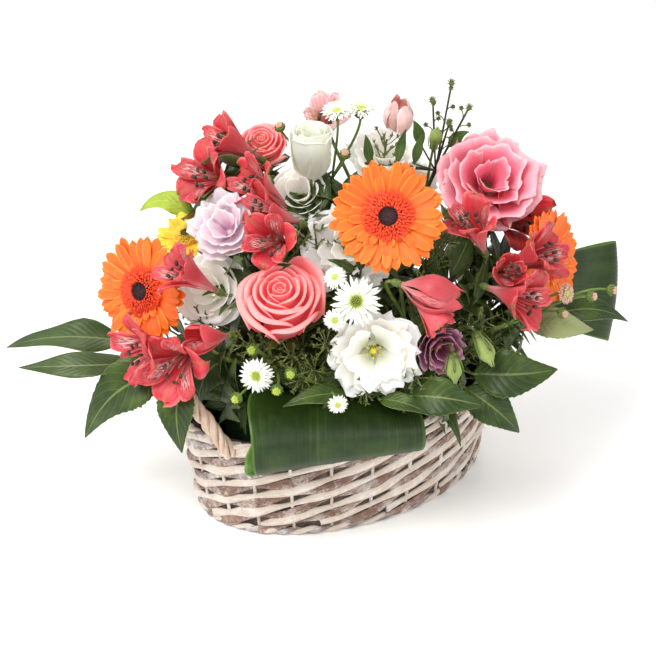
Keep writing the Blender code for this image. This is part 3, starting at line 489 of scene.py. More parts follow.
def split_look(name, light, dark, wash, wash_amount, grain=1.0):
    """A willow split: long grain, patches of bark, and whitewash that lies in flecks along it."""
    made = Look(name, 0.78)
    fibres = made.streaks(9.0, 30.0, 4.0, 71.0)
    flecks = made.streaks(5.0, 90.0, 5.0, 71.0, 0.7)
    made.found = made.mix(made.step(fibres, 0.3, 0.72), dark, light)
    made.tint(made.step(made.noise(34.0, 3.0), 0.35, 0.7), light, 0.45)
    cover = made.math("ADD", made.times(flecks, 0.65), made.times(made.noise(55.0, 2.0), 0.45))
    made.tint(made.step(cover, 0.5, 0.66), wash, wash_amount)
    made.link(made.scaled(flecks, 0.62, 0.9), made.shader["Roughness"])
    return made.done(made.math("ADD", fibres, made.times(flecks, 0.6)), 0.0006 * grain, 0.7)


def ground_look(name, light, dark, roughness, scale, depth):
    made = Look(name, roughness)
    grains = made.noise(scale, 6.0, None, 0.65)
    made.found = made.mix(made.step(grains, 0.35, 0.65), dark, light)
    return made.done(grains, depth, 0.8)


WAXY = {"soft": 0.6, "depth": 0.012}  # petals that light goes deep into
LOOKS = {
    "gerbera": gerbera_look("gerbera", "ea3c08", "f75e04", "ff8c12", "f07414"),
    "yellow": gerbera_look("yellow", "f59a10", "fdc41c", "ffdc50", "f2b424"),
    "floret": dot_look("gerbera_floret", "d42c10", "ff5a24", 0.6),
    "eye": dot_look("gerbera_eye", "1c0c12", "57383c", 0.8),
    "green_eye": dot_look("green_eye", "1c2a0c", "6c6a20", 0.8),
    "rose": rose_look(),
    # the white, cream-green and lavender petals glow a little: painted light that lifts their shade
    "white": petal_look("white_petal", "dfe6ac", "f8f4ea", "fbf9f4", "f2eee2", "e0dacf", **WAXY, tone_range=0.04,
                        vein_strength=0.2, painted_glow=0.08),
    "cream_green": petal_look("cream_green_petal", "b8c878", "f2f4e2", "fafbf4", "eef2da", "d8e0bc", **WAXY,
                              tone_range=0.05, painted_glow=0.06),
    "lavender": petal_look("lavender_petal", "d88cb4", "efd6e0", "f8ecf0", "ecd6e0", "d8a8c4", **WAXY,
                           tone_range=0.06, painted_glow=0.06),
    "mauve": petal_look("mauve_petal", "843058", "b06488", "d0a0b8", "a4607c", "843058", soft=0.2),
    "pink": petal_look("pink_petal", "e02c50", "f7809a", "ffc0ca", "f48ca0", "ec5c78", soft=0.3, vein_strength=0.3),
    "red": tepal_look("red_tepal", "ec4444", "bc1c3c", "f47c80", "fbdcd8", "94783c", "e2505c", "5a1028"),
    "blush": tepal_look("blush_tepal", "fbd0d4", "f8b4c0", "fef0ee", "fbe07c", "b8b45c", "f9ccc6", "b45060"),
    "aster": aster_look(),
    "aster_eye": dot_look("aster_eye", "8fa83a", "dfe37a", 0.6),
    "bract": stem_look("bract", "7d9640", "42602a", 0.5),
    "stem": stem_look("stem", "74883c", "405420"),
    "dark_stem": stem_look("dark_stem", "48582a", "28381a"),
    "bud": petal_look("bud", "6c8a3a", "9cb060", "c8d294", "8ea252", "5e7a34", soft=0.15),
    "sprig": stem_look("sprig", "7c8844", "444e24"),
    "anther": dot_look("anther", "2a2420", "6a4c3c", 0.85),
    "filament": dot_look("filament", "c8343c", "e8a0a0", 0.5),
    "pistil": dot_look("pistil", "8aa62c", "e8c83a", 0.5),
    "leaf": leaf_look("leaf", "465c20", "243a10", "98a070", "90a058"),
    "wavy_leaf": leaf_look("wavy_leaf", "4c5e34", "324620", "848f62", "98a874", veins=14.0, slant=3.4),
    "lime_leaf": leaf_look("lime_leaf", "a9bf3c", "87a02e", "b4c468", "cdd884", veins=7.0, roughness=0.45),
    "aspidistra": leaf_look("aspidistra", "304818", "1c300c", "567c34", "7aa048", ribs=60.0, roughness=0.36,
                            vein_mix=0.14),
    "filler": leaf_look("filler", "5c7a3c", "3c5a2c", "8a9c64", "8aa458", veins=6.0),
    "peeled": split_look("peeled_split", "dccfc2", "c2afa0", "e9e5e1", 0.6),
    "bark": split_look("bark_split", "967260", "503c34", "e6dcd6", 0.6, 1.6),
    "grey": split_look("grey_split", "9c8c84", "5c4e48", "f0eae6", 0.75, 1.5),
    "stake": split_look("stake", "d8cabc", "8c7a6c", "f4efe8", 0.8),
    "rope": split_look("handle_split", "e0c2aa", "b08c76", "f2e4d8", 0.45),
    # the dark backing of the basket's wall and floor: painted shade for the gaps in the weave
    "inside": ground_look("basket_painted_shade_backing", "5a4a40", "241c18", 0.9, 160.0, 0.001),
    "film": ground_look("film", "2a2e2a", "101410", 0.25, 60.0, 0.0004),
    "foam": ground_look("foam", "2f5a34", "16341c", 0.95, 700.0, 0.0008),
}


# ---- stems ----------------------------------------------------------------------------------------------------------
def seat_under(point):
    """Where, low in the foam, a stem ends whose upper end is at this point."""
    away = unit(point - HEART)
    return HEART + away / np.linalg.norm(away / SEAT)


def stem_path(top, look, start=None, straight=0.4, steps=14):
    """A stem's line: radially out of the foam and square to the bloom's back, or that of a side branch."""
    foot = seat_under(top) if start is None else np.asarray(start, float)
    lead = unit(top - foot)
    out = foot + lead * IN_FOAM if start is None else foot
    span = np.linalg.norm(top - out)
    bend = [out, out + lead * span * straight, top - look * span * 0.3, top]
    path = bezier(bend, np.linspace(0, 1, steps))
    return np.concatenate([[foot], path]) if start is None else path


def add_stem(shapes, path, radius, sides=8):
    swell = radius * (1 + 0.06 * np.sin(np.linspace(0, 9, len(path)) + 6 * shapes.rng.random()))
    shapes.tube(path, swell, swell, sides)


def add_trunk(shapes, fork, radius, knot):
    """The main stem of a spray, with the knot that its branches grow from."""
    lead, foot = unit(fork - HEART), seat_under(fork)
    path = [foot, foot + lead * IN_FOAM, fork - lead * 2 * knot, fork - lead * knot, fork, fork + lead * 0.7 * knot]
    radii = np.array([radius, radius, radius, 0.7 * knot, 0.8 * knot, 0.3 * knot])
    shapes.tube(path, radii, radii, 9)


def add_branch(shapes, fork, top, look, radius):
    add_stem(shapes, stem_path(top, look, fork + unit(fork - HEART) * 0.5, 0.35, 12), radius)


# ---- petals, in a bloom's own frame ---------------------------------------------------------------------------------
def round_petal(r, z, angle, sideways):
    """Points at radius r and height z, at sideways from the line at this angle."""
    c, s = np.cos(angle), np.sin(angle)
    return np.stack([r * c - sideways * s, r * s + sideways * c, z], axis=-1)


def gerbera_ray(radius, reach, half, lift, bend, angle, rng):
    u, s = grid(9, 7)
    t = 1 - (1 - u) ** 1.5
    root = 0.2 * radius
    broad = (0.4 + 0.6 * smooth(t, 0.0, 0.6)) * np.clip(1 - (np.clip(t - 0.76, 0, 1) / 0.242) ** 2.4, 0, 1) ** 0.55
    side = s * half * np.maximum(broad, 0.08) + half * rng.normal(0, 0.25) * t**2
    r = root + (reach - root) * t - 0.02 * reach * s**2 * t
    groove = 0.4 * (0.5 + 0.5 * np.cos(3 * math.pi * s)) * np.sin(math.pi * np.clip(t, 0.02, 0.98))
    keel = rng.normal(0.5, 0.35) * s**2 * t
    sag = rng.normal(0, 1.4) * t**2 - 1.5 * smooth(t, 0.75, 1.0)
    z = lift + bend * (r / radius) ** 2 + groove * 0.8 + keel + sag + rng.normal(0, 0.5) * s * t
    return round_petal(r, z, angle, side)


def build_gerbera(name, centre, look, radius, number):
    rng = dice(name)
    centre, look = place(*centre), facing(*look)
    spot = axes_on(look, 11.0 * number), centre
    rays, florets, eye, stem = (Shapes(rng) for _ in range(4))
    # layers of rays: how many, reach as a share of the radius, height of the foot, rise, half width as a share
    layers = [
        (31, 1.0, 0.0, 7.0, 0.098), (29, 0.95, 1.2, 8.0, 0.094), (23, 0.74, 2.2, 9.5, 0.08),
        (20, 0.56, 3.2, 10.5, 0.064),
    ]
    hue, floret_hue, eye_hue = "gerbera", "floret", "eye"
    if name.endswith("yellow"):
        layers = [(20, 1.0, 0.0, 7.0, 0.14), (18, 0.86, 1.2, 8.5, 0.13)]
        hue, floret_hue, eye_hue = "yellow", "yellow", "green_eye"
    for count, reach, lift, bend, half in layers:
        for k in range(count):
            low_side = 0.5 - 0.5 * math.cos(TURN * k / count - 0.6)
            if reach < 0.8 and rng.random() > low_side**2:
                continue
            angle = TURN * (k + rng.normal(0, 0.12) + 0.37 * lift) / count
            far = radius * reach * (0.94 + rng.normal(0, 0.03))
            wide = radius * half * (1 + rng.normal(0, 0.06))
            rays.sheet(gerbera_ray(radius, far, wide, lift, bend, angle, rng), 0.7, spot)
    bed = [(0.01, 1.0), (0.42 * radius, 2.2), (0.41 * radius, 4.0), (0.3 * radius, 5.0), (0.01, 5.2)]
    florets.turned_shape(bed, 40, spot, 0.2)
    for row in range(7):
        count = 34 + 7 * row
        for k in range(count):
            angle = TURN * (k + 0.5 * (row % 2) + rng.normal(0, 0.15)) / count
            length = radius * (0.06 + 0.009 * row) * (1 + rng.normal(0, 0.15))
            u, s = grid(3, 3)
            side = s * 0.8 * (0.5 + 0.5 * np.sin(math.pi * np.clip(u + 0.12, 0, 1))) + 0.6 * rng.normal() * u
            r = radius * (0.15 + 0.03 * row) + length * u**1.2 + 0 * s
            z = 5.2 - 0.5 * row + 3.8 * np.sin(1.9 * u) + 0.5 * s**2 + rng.normal(0, 0.3) * u
            florets.sheet(round_petal(r, z, angle, side), 0.4, spot)
    dome = [
        (0.01, 2.6), (0.2 * radius, 2.8), (0.27 * radius, 4.2), (0.2 * radius, 6.0), (0.1 * radius, 6.4), (0.02, 6.2),
    ]
    eye.turned_shape(dome, 28, spot, 0.6)
    for r, angle in seeds(150, 0.175 * radius):
        foot = ring(angle, r, 5.6)
        rise = 1.5 + 1.3 * (r / (0.175 * radius)) ** 2 + rng.normal(0, 0.25)
        tip = foot * np.array([1.08, 1.08, 1.0]) + np.array([0, 0, rise])
        path = put(np.array([foot, 0.5 * (foot + tip), 0.15 * foot + 0.85 * tip, tip]), spot)
        eye.tube(path, [0.55, 0.6, 0.45, 0.12], [0.55, 0.6, 0.45, 0.12], 4)
    path = stem_path(centre - look * 14, look, None, 0.4, 20)
    stem.tube(np.concatenate([path, [centre - look * 9]]), 2.7, 2.7, 12, 0.4)
    cup = [(2.6, -12.0), (0.2 * radius, -8.6), (0.27 * radius, -5.0), (0.29 * radius, -1.9), (0.2 * radius, -1.6)]
    stem.turned_shape(cup, 24, spot, 0.3)
    for row in range(3):
        for k in range(22):
            u, s = grid(5, 3)
            r = radius * (0.2 + 0.03 * row) + radius * 0.1 * np.sin(1.5 * u) + 0 * s + 0.4
            z = -9.5 + 1.5 * row + (5.5 + 0.8 * row) * u + 0 * s
            bract = round_petal(r, z, TURN * (k + 0.5 * (row % 2)) / 22, s * 1.5 * np.clip(1.02 - u, 0.05, 1) ** 0.7)
            stem.sheet(bract[:, ::-1], 0.5, spot)
    rays.make(name + "_ray_petals", hue, hue, name + "_rays")
    florets.make(name + "_florets", floret_hue, "gerbera_eye")
    eye.make(name + "_disc", eye_hue, "gerbera_eye", name + "_eye")
    stem.make(name + "_stem_and_cup", "stem", "stem", name + "_stem")


def wrapped_petal(rng, angle, span, foot, base_z, reach, top_z, curl, ruffle=0.0, waves=3.0, rows=14, cols=17,
                  notch=0.24, belly=0.55, spiral=0.0):
    """A petal that wraps round the bloom: it rises from its foot, swells, and its rim curls out and is rounded."""
    u, s = grid(rows, cols)
    u = u ** 0.85
    phase = phases(rng, 4)
    scallop = 0.012 * ruffle * np.cos(11 * s + phase[3])
    t = u * (1 - notch * np.abs(s) ** 2.6 + scallop)
    swell = (1 - belly) * t + belly * np.sin(0.5 * math.pi * t)
    if belly > 0.9:
        swell = (1 - (1 - t) ** 2.6) * (1 - 0.2 * smooth(t, 0.5, 1.0))
    r = foot + (reach - foot) * swell + curl * smooth(t, 0.6, 1.02) ** 1.5
    z = base_z + (top_z - base_z) * t - 0.55 * curl * smooth(t, 0.82, 1.04) ** 2
    broad = np.sin(waves * math.pi * s + phase[0]) + 0.5 * np.sin(2.3 * waves * math.pi * s + phase[1])
    fold = ruffle * (t**2.2 * broad + 0.55 * t**7 * np.sin(13 * s + phase[2]))
    fold = fold + 0.22 * ruffle * t**14 * np.sin(31 * s + phase[3])
    lean = rng.normal(0, 0.35) * ruffle * t**2
    turn = angle + span * s * (0.42 + 0.58 * smooth(t, 0.0, 0.55)) + 0.02 * ruffle * t**2 * np.cos(7 * s + phase[1])
    r = r * (1 + spiral * s) + 0.7 * fold + lean
    return np.stack([r * np.cos(turn), r * np.sin(turn), z + 0.7 * fold], axis=-1)


def add_sepals(shapes, count, thick, spot, shift, *form, **finer):
    """Narrow pointed petals, evenly round a cup."""
    for k in range(count):
        petal = wrapped_petal(shapes.rng, TURN * k / count + shift, *form, cols=5, **finer)
        shapes.sheet(petal, thick, spot)


def rose_petal(rng, angle, span, radius, reach, top, base_z, roll, spiral, ruffle, full=0.5):
    """A broad petal that stands round the heart and rolls out at its rim, as far as roll says."""
    u, s = grid(14, 17)
    u = u ** 0.8
    phase = phases(rng, 3)
    height = 1 - 0.1 * np.abs(s) ** 3 - 0.3 * reach * np.abs(s) ** 5 + 0.012 * np.cos(5 * s + phase[0])
    wall = smooth(u, 0.0, 0.78)
    out = np.clip((u - 0.72) / 0.28, 0, 1)
    bow = radius * (0.06 + 0.08 * reach) * roll * (1 - 0.5 * s**2) * (1 + 0.25 * np.sin(2.2 * s + phase[1]))
    turned_out = 2.2 * out
    rise = np.sin(0.5 * math.pi * np.clip(wall * 1.12, 0, 1)) ** 0.8
    r = radius * (0.1 + (reach - 0.1) * (full * rise + (1 - full) * wall))
    r = r + bow * np.sin(turned_out) * (out > 0)
    z = base_z + (radius * top - base_z) * wall * height - bow * (1 - np.cos(turned_out)) * 0.8
    wave = ruffle * radius * out * (np.sin(3.1 * s + phase[2]) + 0.5 * np.sin(7 * s + phase[0]))
    turn = angle + span * s * (0.5 + 0.5 * smooth(u, 0.0, 0.5))
    r = (r + 0.6 * wave) * (1 + spiral * s)
    return np.stack([r * np.cos(turn), r * np.sin(turn), z + 0.8 * wave], axis=-1)


def build_rose(name, centre, look, radius, depth):
    rng = dice(name)
    centre, look = place(*centre), facing(*look)
    frame_on = axes_on(look, 20)
    spot = frame_on, centre
    petals, stem = Shapes(rng), Shapes(rng)
    # whorls: how many petals, reach of the rim and its height as shares of the radius, half width in degrees, roll
    whorls = [
        (2, 0.05, 0.4, 150, 0.0), (3, 0.13, 0.44, 115, 0.1), (3, 0.24, 0.45, 102, 0.25), (3, 0.37, 0.42, 90, 0.45),
        (4, 0.51, 0.36, 76, 0.6), (4, 0.65, 0.25, 68, 0.75), (5, 0.79, 0.1, 56, 0.7),
    ]
    for w, (count, reach, top, span, roll) in enumerate(whorls):
        for k in range(count):
            angle = math.radians(50.0 * (w + 1) + 360.0 * k / count + rng.normal(0, 6))
            surface = rose_petal(
                rng, angle, math.radians(span), radius, reach * (1 + rng.normal(0, 0.02)), top + rng.normal(0, 0.02),
                -depth * (0.35 + 0.6 * min(1.0, 1.3 * reach)), roll * (1 + rng.normal(0, 0.25)), 0.14 - 0.11 * reach,
                0.015 + 0.03 * reach,
            )
            petals.sheet(surface, 0.5, spot, 0.1 + 0.9 * rng.random(), 1.0 - reach)
    if name.endswith("front"):
        standing = rose_petal(
            rng, math.radians(20), math.radians(50), radius, 0.92, 0.28, -0.95 * depth, 0.9, 0.02, 0.04,
        )
        petals.sheet(standing, 0.5, spot, 0.9)
    core = [(0.05 * radius, -depth), (0.5 * radius, -0.6 * depth), (0.3 * radius, 0.0), (0.03 * radius, 0.3 * radius)]
    petals.turned_shape(core, 14, spot, 0.1, 1.0)
    back = centre - look * depth
    add_stem(stem, stem_path(back - look * 5, look, None, 0.4, 18), 2.4, 10)
    stem.turned_shape([(2.2, -9.0), (5.4, -4.0), (6.2, 0.0), (3.0, 1.0)], 14, (frame_on, back), 0.4)
    add_sepals(stem, 5, THICK, (frame_on, back), 0.0, 0.5, 5.5, -2.0, 17.0, 6.0, 4.0, notch=0.9, rows=8, belly=0.2)
    petals.make(name + "_bloom", "rose", "rose", name + "_petals")
    stem.make(name + "_stem_and_sepals", "stem", "stem", name + "_stem")


FRILLS = {"lavender": 0.07, "pink": 0.075, "mauve": 0.08, "white_left": 0.03, "white_middle": 0.03}
OPEN_HEARTED = ("white_front", "white_rear", "white_top", "mauve")  # lisianthus that show their pistil


def build_lisianthus(name, hue, centre, look, radius, depth, opening, number):
    rng = dice(name)
    centre, look = place(*centre), facing(*look)
    spot = axes_on(look, 17.0 * number), centre
    petals = Shapes(rng)
    rise = 0.5 * (1 - opening) * radius
    # each whorl: petals, reach and height of the rim as shares of the radius, half width as a share of its place
    whorls = [(5, 1.0, -0.06, 1.2), (5, 0.86, 0.1, 1.15), (4, 0.66, 0.2, 1.1), (3, 0.42, 0.27, 1.1)]
    waves, notch = 1.3, 0.16
    if opening < 0.3:
        whorls = []
        cups = [(0.86, 0.2, 0.7), (0.76, 0.34, 0.3), (0.6, 0.3, 0.2), (0.42, 0.26, 0.1)]
        for w, (reach, top, roll) in enumerate(cups):
            for k in range(3):
                cup = rose_petal(
                    rng, TURN * (k + 0.5 * w) / 3 + 0.4, math.radians(76), radius, reach, top, -0.96 * depth, roll,
                    0.08, 0.025, 1.15,
                )
                petals.sheet(cup, THICK, spot, thin_edge=0.5)
    if name in ("white_front", "white_rear"):
        whorls = whorls[:3]
    if name == "pink":
        whorls = [(4, 0.98, -0.04, 1.5), (4, 0.84, 0.14, 1.45), (3, 0.58, 0.26, 1.3), (3, 0.32, 0.28, 1.2)]
        waves, notch = 0.9, 0.1
    frill = FRILLS.get(name, 0.085)
    for w, (count, reach, top, wide) in enumerate(whorls):
        for k in range(count):
            angle = TURN * (k + 0.5 * w + rng.normal(0, 0.1)) / count + 0.3 * w
            far = radius * reach * (0.97 + rng.normal(0, 0.03))
            curl = far * (0.2 * opening + rng.normal(0, 0.05)) * (1.0 if w < 2 else 0.5)
            surface = wrapped_petal(
                rng, angle, wide * math.pi / count, 0.09 * radius, -0.9 * depth + 0.12 * depth * w, far - curl,
                rise + (top + rng.normal(0, 0.045)) * radius, curl, ruffle=frill * radius * (1.0 - 0.1 * w),
                waves=waves + 0.5 * rng.random(), notch=notch, belly=0.3 + 0.55 * (1 - opening),
                spiral=0.07 - 0.03 * (w % 2), rows=12, cols=19,
            )
            petals.sheet(surface, THICK, spot, thin_edge=0.5)
    core = [
        (1.5, -depth + 0.5), (0.14 * radius, -0.86 * depth), (0.12 * radius, -0.6 * depth),
        (0.02 * radius, -0.5 * depth),
    ]
    petals.turned_shape(core, 14, spot, 0.2)
    petals.make("lisianthus_" + name + "_bloom", hue, hue, "lisianthus_" + name)
    if name not in OPEN_HEARTED:
        return
    pistil = Shapes(rng)
    floor = -0.7 * depth
    ovary = ((1.4, 0), (2.6, 4), (2.4, 9), (1.0, 12), (2.6, 14), (0.6, 15))
    pistil.turned_shape([(r, floor + z) for r, z in ovary], 12, spot, 0.2)
    for k in range(6):
        way = ring(TURN * k / 6 + 0.2)
        path = np.array([way * 1.5 + [0, 0, floor], way * 4 + [0, 0, floor + 8], way * 5.5 + [0, 0, floor + 13]])
        pistil.tube(put(spline(path, 4), spot), 0.5, 0.5, 6, 0.3)
        tip = put(way * 5.6 + [0, 0, floor + 13.4], spot)
        pistil.turned_shape([(0.3, -1.8), (1.2, -0.8), (1.2, 0.8), (0.3, 1.8)], 7, (spot[0], tip), 0.9)
    pistil.make("lisianthus_" + name + "_pistil", "pistil", hue)


def build_lisianthus_stem(name, fork, blooms, buds):
    rng = dice(name)
    heads = {row[0]: row for row in LISIANTHUS}
    fork = place(*fork)
    green, hoods = Shapes(rng), Shapes(rng)
    add_trunk(green, fork, 2.0, 3.6)
    for bloom in blooms:
        _, _, centre, look, radius, depth, opening = heads[bloom]
        look = facing(*look)
        back = place(*centre) - look * depth
        spot = axes_on(look), back
        add_branch(green, fork, back - look * 5, look, 1.6)
        green.turned_shape([(1.6, -8.0), (3.6, -4.5), (4.9, -1.0), (4.2, 0.6)], 12, spot, 0.4)
        reach = 5.5 + 0.17 * radius * (0.4 + opening)
        add_sepals(green, 5, THICK, spot, 0.4, 0.42, 4.6, -2.0, reach, 0.62 * depth, 1.5, notch=0.94, rows=9, belly=0.2)
    for point, look, radius, length in buds:
        look = facing(*look)
        foot = place(*point) - look * length * 0.5
        spot = axes_on(look), foot
        add_branch(green, fork, foot + look * 1.0, look, 1.2)
        for k in range(5):
            petal = wrapped_petal(
                rng, TURN * k / 5, 0.95, 0.25 * radius, 0.05 * length, 0.9 * radius, 0.94 * length, -0.62 * radius,
                notch=0.35, rows=12, cols=11, belly=1.0, spiral=0.07,
            )
            hoods.sheet(petal, THICK, spot)
        heart = [
            (0.3 * radius, 0.06 * length), (0.72 * radius, 0.3 * length), (0.62 * radius, 0.65 * length),
            (0.1, 0.92 * length),
        ]
        hoods.turned_shape(heart, 12, spot, 0.4)
        green.turned_shape([(1.2, -1.0), (0.5 * radius, 0.04 * length), (0.6 * radius, 0.16 * length)], 10, spot, 0.3)
        form = 0.3, 0.5 * radius, 0.0, 1.12 * radius, 0.66 * length, 0.0
        add_sepals(green, 5, 0.5, spot, 0.5, *form, notch=0.94, rows=8, belly=0.9)
    green.make(name + "_green", "stem", "stem", name)
    if buds:
        hoods.make(name + "_buds", "bud", "cream_green")


def tepal(rng, radius, length, reach, wide, angle, lift, curl, closed):
    """One tepal of a trumpet: narrow at its root, broadest past its middle, with a pointed tip that bends out."""
    u, s = grid(13, 9)
    throat = 0.16 * radius
    spread = smooth(u, 0.18, 1.05) ** 1.15
    bell = smooth(u, 0.05, 0.55) * (1 - 0.7 * smooth(u, 0.62, 1.0))
    spread = (1 - closed) * spread + closed * bell
    r = 0.05 * radius + throat * smooth(u, 0.0, 0.3) + (reach - throat) * spread
    climb = (1 - closed) * np.sin(0.5 * math.pi * u) ** 0.9 + closed * u
    z = -length + (length + lift) * climb - curl * smooth(u, 0.74, 1.0) ** 2
    broad = 0.16 + 0.84 * smooth(u, 0.08, 0.62)
    broad = broad * np.clip(1 - (np.clip(u - 0.6, 0, 1) / 0.405) ** 2.2, 0.0, 1) ** 0.62
    side = s * wide * np.maximum(broad, 0.035)
    hollow = (0.26 + 0.3 * closed) * wide * broad * s**2 * (1 - 0.4 * u)
    phase = phases(rng, 3)
    wave = 0.06 * radius * smooth(u, 0.35, 1.0) * np.sin(2.2 * math.pi * s + phase[0]) * np.abs(s)
    wave = wave + 0.03 * radius * smooth(u, 0.3, 0.9) * np.sin(5 * u * math.pi + phase[1]) * s
    crease = 0.018 * radius * np.cos(3 * math.pi * s) * np.sin(math.pi * u)
    twist = rng.normal(0, 0.1) * radius * u**2 * s
    bend = rng.normal(0, 0.07) * radius * u**2
    wave = wave * (1 - 0.7 * closed)
    z = z + 0.8 * hollow + wave + crease + (twist + bend) * (1 - closed)
    flat = round_petal(r - 0.6 * hollow + 0.5 * wave, z, angle, side)
    bell_r = np.maximum(r, 0.06 * radius)
    wrapped = round_petal(bell_r, z - 0.8 * hollow, angle + np.clip(1.25 * side / bell_r, -1.0, 1.0), 0.0 * side)
    return (1 - closed) * flat + closed * wrapped


def build_alstroemeria(name, hue, fork, blooms):
    rng = dice(name)
    fork = place(*fork)
    petals, green, threads, anthers = (Shapes(rng) for _ in range(4))
    add_trunk(green, fork, 2.0, 3.6)
    for k, (centre, look, radius, opening) in enumerate(blooms):
        centre, look = place(*centre), facing(*look)
        frame_on = axes_on(look, 25.0 * k)
        spot = frame_on, centre
        length = radius * (2.0 - 0.7 * opening)
        reach = radius * (0.3 + 0.7 * opening)
        closed = 1 - float(smooth(opening, 0.28, 0.5))
        add_branch(green, fork, centre - look * (length + 4), look, 1.5)
        ovary = [(1.4, -length - 6), (3.2, -length - 3), (3.0, -length + 1), (2.2, -length + 3)]
        green.turned_shape(ovary, 12, spot, 0.5)
        for j in range(6):
            share, narrow, lift, inside = (0.95, 0.3, radius * 0.16, 1.2) if j % 2 else (1.03, 0.47, 0.0, 0.0)
            angle = TURN * (j + rng.normal(0, 0.06)) / 6
            wide = radius * narrow * (0.55 + 0.45 * opening)
            curl = 0.14 * radius * opening
            surface = tepal(rng, radius, length, reach * share - inside, wide, angle, lift, curl, closed)
            petals.sheet(surface, THICK, spot, None, float(j % 2), 0.5)
        if opening <= 0.42:
            continue
        for j in range(6):
            angle = TURN * (j + 0.3) / 6
            side = 0.12 * radius + 0.05 * radius * rng.random()
            top = ring(angle, side, -0.12 * radius + 2.5 * rng.random()) * [1.6, 1.6, 1.0] - [0.0, 0.1 * radius, 0.0]
            path = np.array([ring(angle, 0.5, -0.75 * length), ring(angle, side, -0.4 * length), top])
            path = put(spline(path, 5), spot)
            threads.tube(path, 0.45, 0.45, 6)
            way = axes_on(frame_on @ np.array([rng.normal(), rng.normal(), 0.6]))
            anthers.turned_shape([(0.2, -3.0), (1.4, -2.0), (1.5, 1.2), (0.3, 2.8)], 8, (way, path[-1]))
    petals.make(name + "_tepals", hue, hue, name)
    green.make(name + "_stems", "stem", "stem")
    if threads.count:
        threads.make(name + "_filaments", "filament", hue)
        anthers.make(name + "_anthers", "anther", hue)


def add_aster_bud(green, rays, spot, radius, kind):
    """A ball of green scales with the tips of the rays standing out of its top."""
    length = 1.6 * radius
    ball = [(0.4 * radius, 0.0), (0.86 * radius, 0.25 * length), (0.8 * radius, 0.55 * length)]
    ball.append((0.3 * radius, 0.7 * length))
    green.turned_shape(ball, 12, spot, 0.5)
    for k in range(22):
        row = k // 11
        scale = wrapped_petal(
            green.rng, TURN * (k + 0.5 * row) / 11, 0.3, 0.5 * radius, 0.05 * length, radius * (0.95 - 0.12 * row),
            (0.55 + 0.2 * row) * length, 0.3 * (1 - row), notch=0.85, rows=6, cols=5, belly=0.9,
        )
        green.sheet(scale, 0.5, spot)
    for r, angle in seeds(26, 0.55 * radius):
        foot = ring(angle, r, 0.6 * length)
        tip = foot * [1.1, 1.1, 1.0] + [0, 0, (0.5 - 0.25 * r / radius) * length]
        path = put(np.array([foot, 0.5 * (foot + tip), tip]), spot)
        rays.tube(path, [0.6, 0.75, 0.35], [0.4, 0.5, 0.25], 4, None, kind)


def add_aster_head(green, rays, eyes, spot, radius, kind, up):
    """An open head: green scales below, three layers of rays that rise by up, and an eye of small florets."""
    rng = green.rng
    cup = [(1.1, -0.52 * radius), (0.3 * radius, -0.34 * radius), (0.38 * radius, -0.06 * radius), (0.2 * radius, 0.0)]
    green.turned_shape(cup, 14, spot, 0.5)
    for k in range(24):
        scale = wrapped_petal(
            rng, TURN * (k + 0.5 * (k % 2)) / 24, 0.2, 0.2 * radius, -0.42 * radius, 0.42 * radius,
            (-0.06 - 0.1 * (k % 2)) * radius, 0.4, notch=0.85, rows=6, cols=5, belly=0.8,
        )
        green.sheet(scale, 0.4, spot)
    for layer, (count, reach, tip) in enumerate([(26, 1.0, 0.02 + up), (24, 0.9, 0.12 + up), (20, 0.72, 0.24 + up)]):
        for k in range(count):
            angle = TURN * (k + 0.4 * layer + rng.normal(0, 0.14)) / count
            far = radius * reach * (1 + rng.normal(0, 0.04))
            u, s = grid(6, 3)
            half = 0.05 * radius + 0.3
            side = s * half * (0.45 + 0.55 * smooth(u, 0, 0.5))
            side = side * np.sqrt(np.clip(1.04 - smooth(u, 0.6, 1.0) ** 2, 0, 1))
            side = side + rng.normal(0, 0.6) * u**2
            r = 0.16 * radius + (far - 0.16 * radius) * u
            lift = (tip + rng.normal(0, 0.05)) * np.sin(1.8 * u) - 0.05 * u**3
            z = radius * (0.03 * layer + lift) + 0.25 * s**2
            rays.sheet(round_petal(r + 0 * s, z, angle, side), 0.35, spot, None, kind)
    for r, angle in seeds(44, 0.25 * radius):
        foot = ring(angle, r, -0.02 * radius)
        tip = foot * [1.15, 1.15, 1.0] + [0, 0, 0.27 * radius - 0.1 * r]
        path = put(np.array([foot, 0.6 * tip + 0.4 * foot, tip]), spot)
        eyes.tube(path, [0.5, 0.62, 0.25], [0.5, 0.62, 0.25], 4)


def build_aster(name, fork, heads):
    rng = dice(name)
    fork = place(*fork)
    rays, eyes, green = (Shapes(rng) for _ in range(3))
    add_trunk(green, fork, 1.6, 2.8)
    for centre, look, radius in heads:
        centre, look = place(*centre), facing(*look)
        spot = axes_on(look, 360 * rng.random()), centre
        bud = radius <= 6
        kind = 0.0
        if bud or name == "asters_right":
            kind = 1.0 if name in ("asters_right", "asters_top") else 0.5
        if bud:
            add_branch(green, fork, centre + look, look, 1.0)
            add_aster_bud(green, rays, spot, radius, kind)
        else:
            add_branch(green, fork, centre - look * 0.5 * radius, look, 1.1)
            add_aster_head(green, rays, eyes, spot, radius, kind, 0.2 if name == "asters_top" else 0.0)
    rays.make(name + "_rays", "aster", "aster", name)
    green.make(name + "_stems_and_bracts", "bract", "stem")
    if eyes.count:
        eyes.make(name + "_eyes", "aster_eye", "aster")


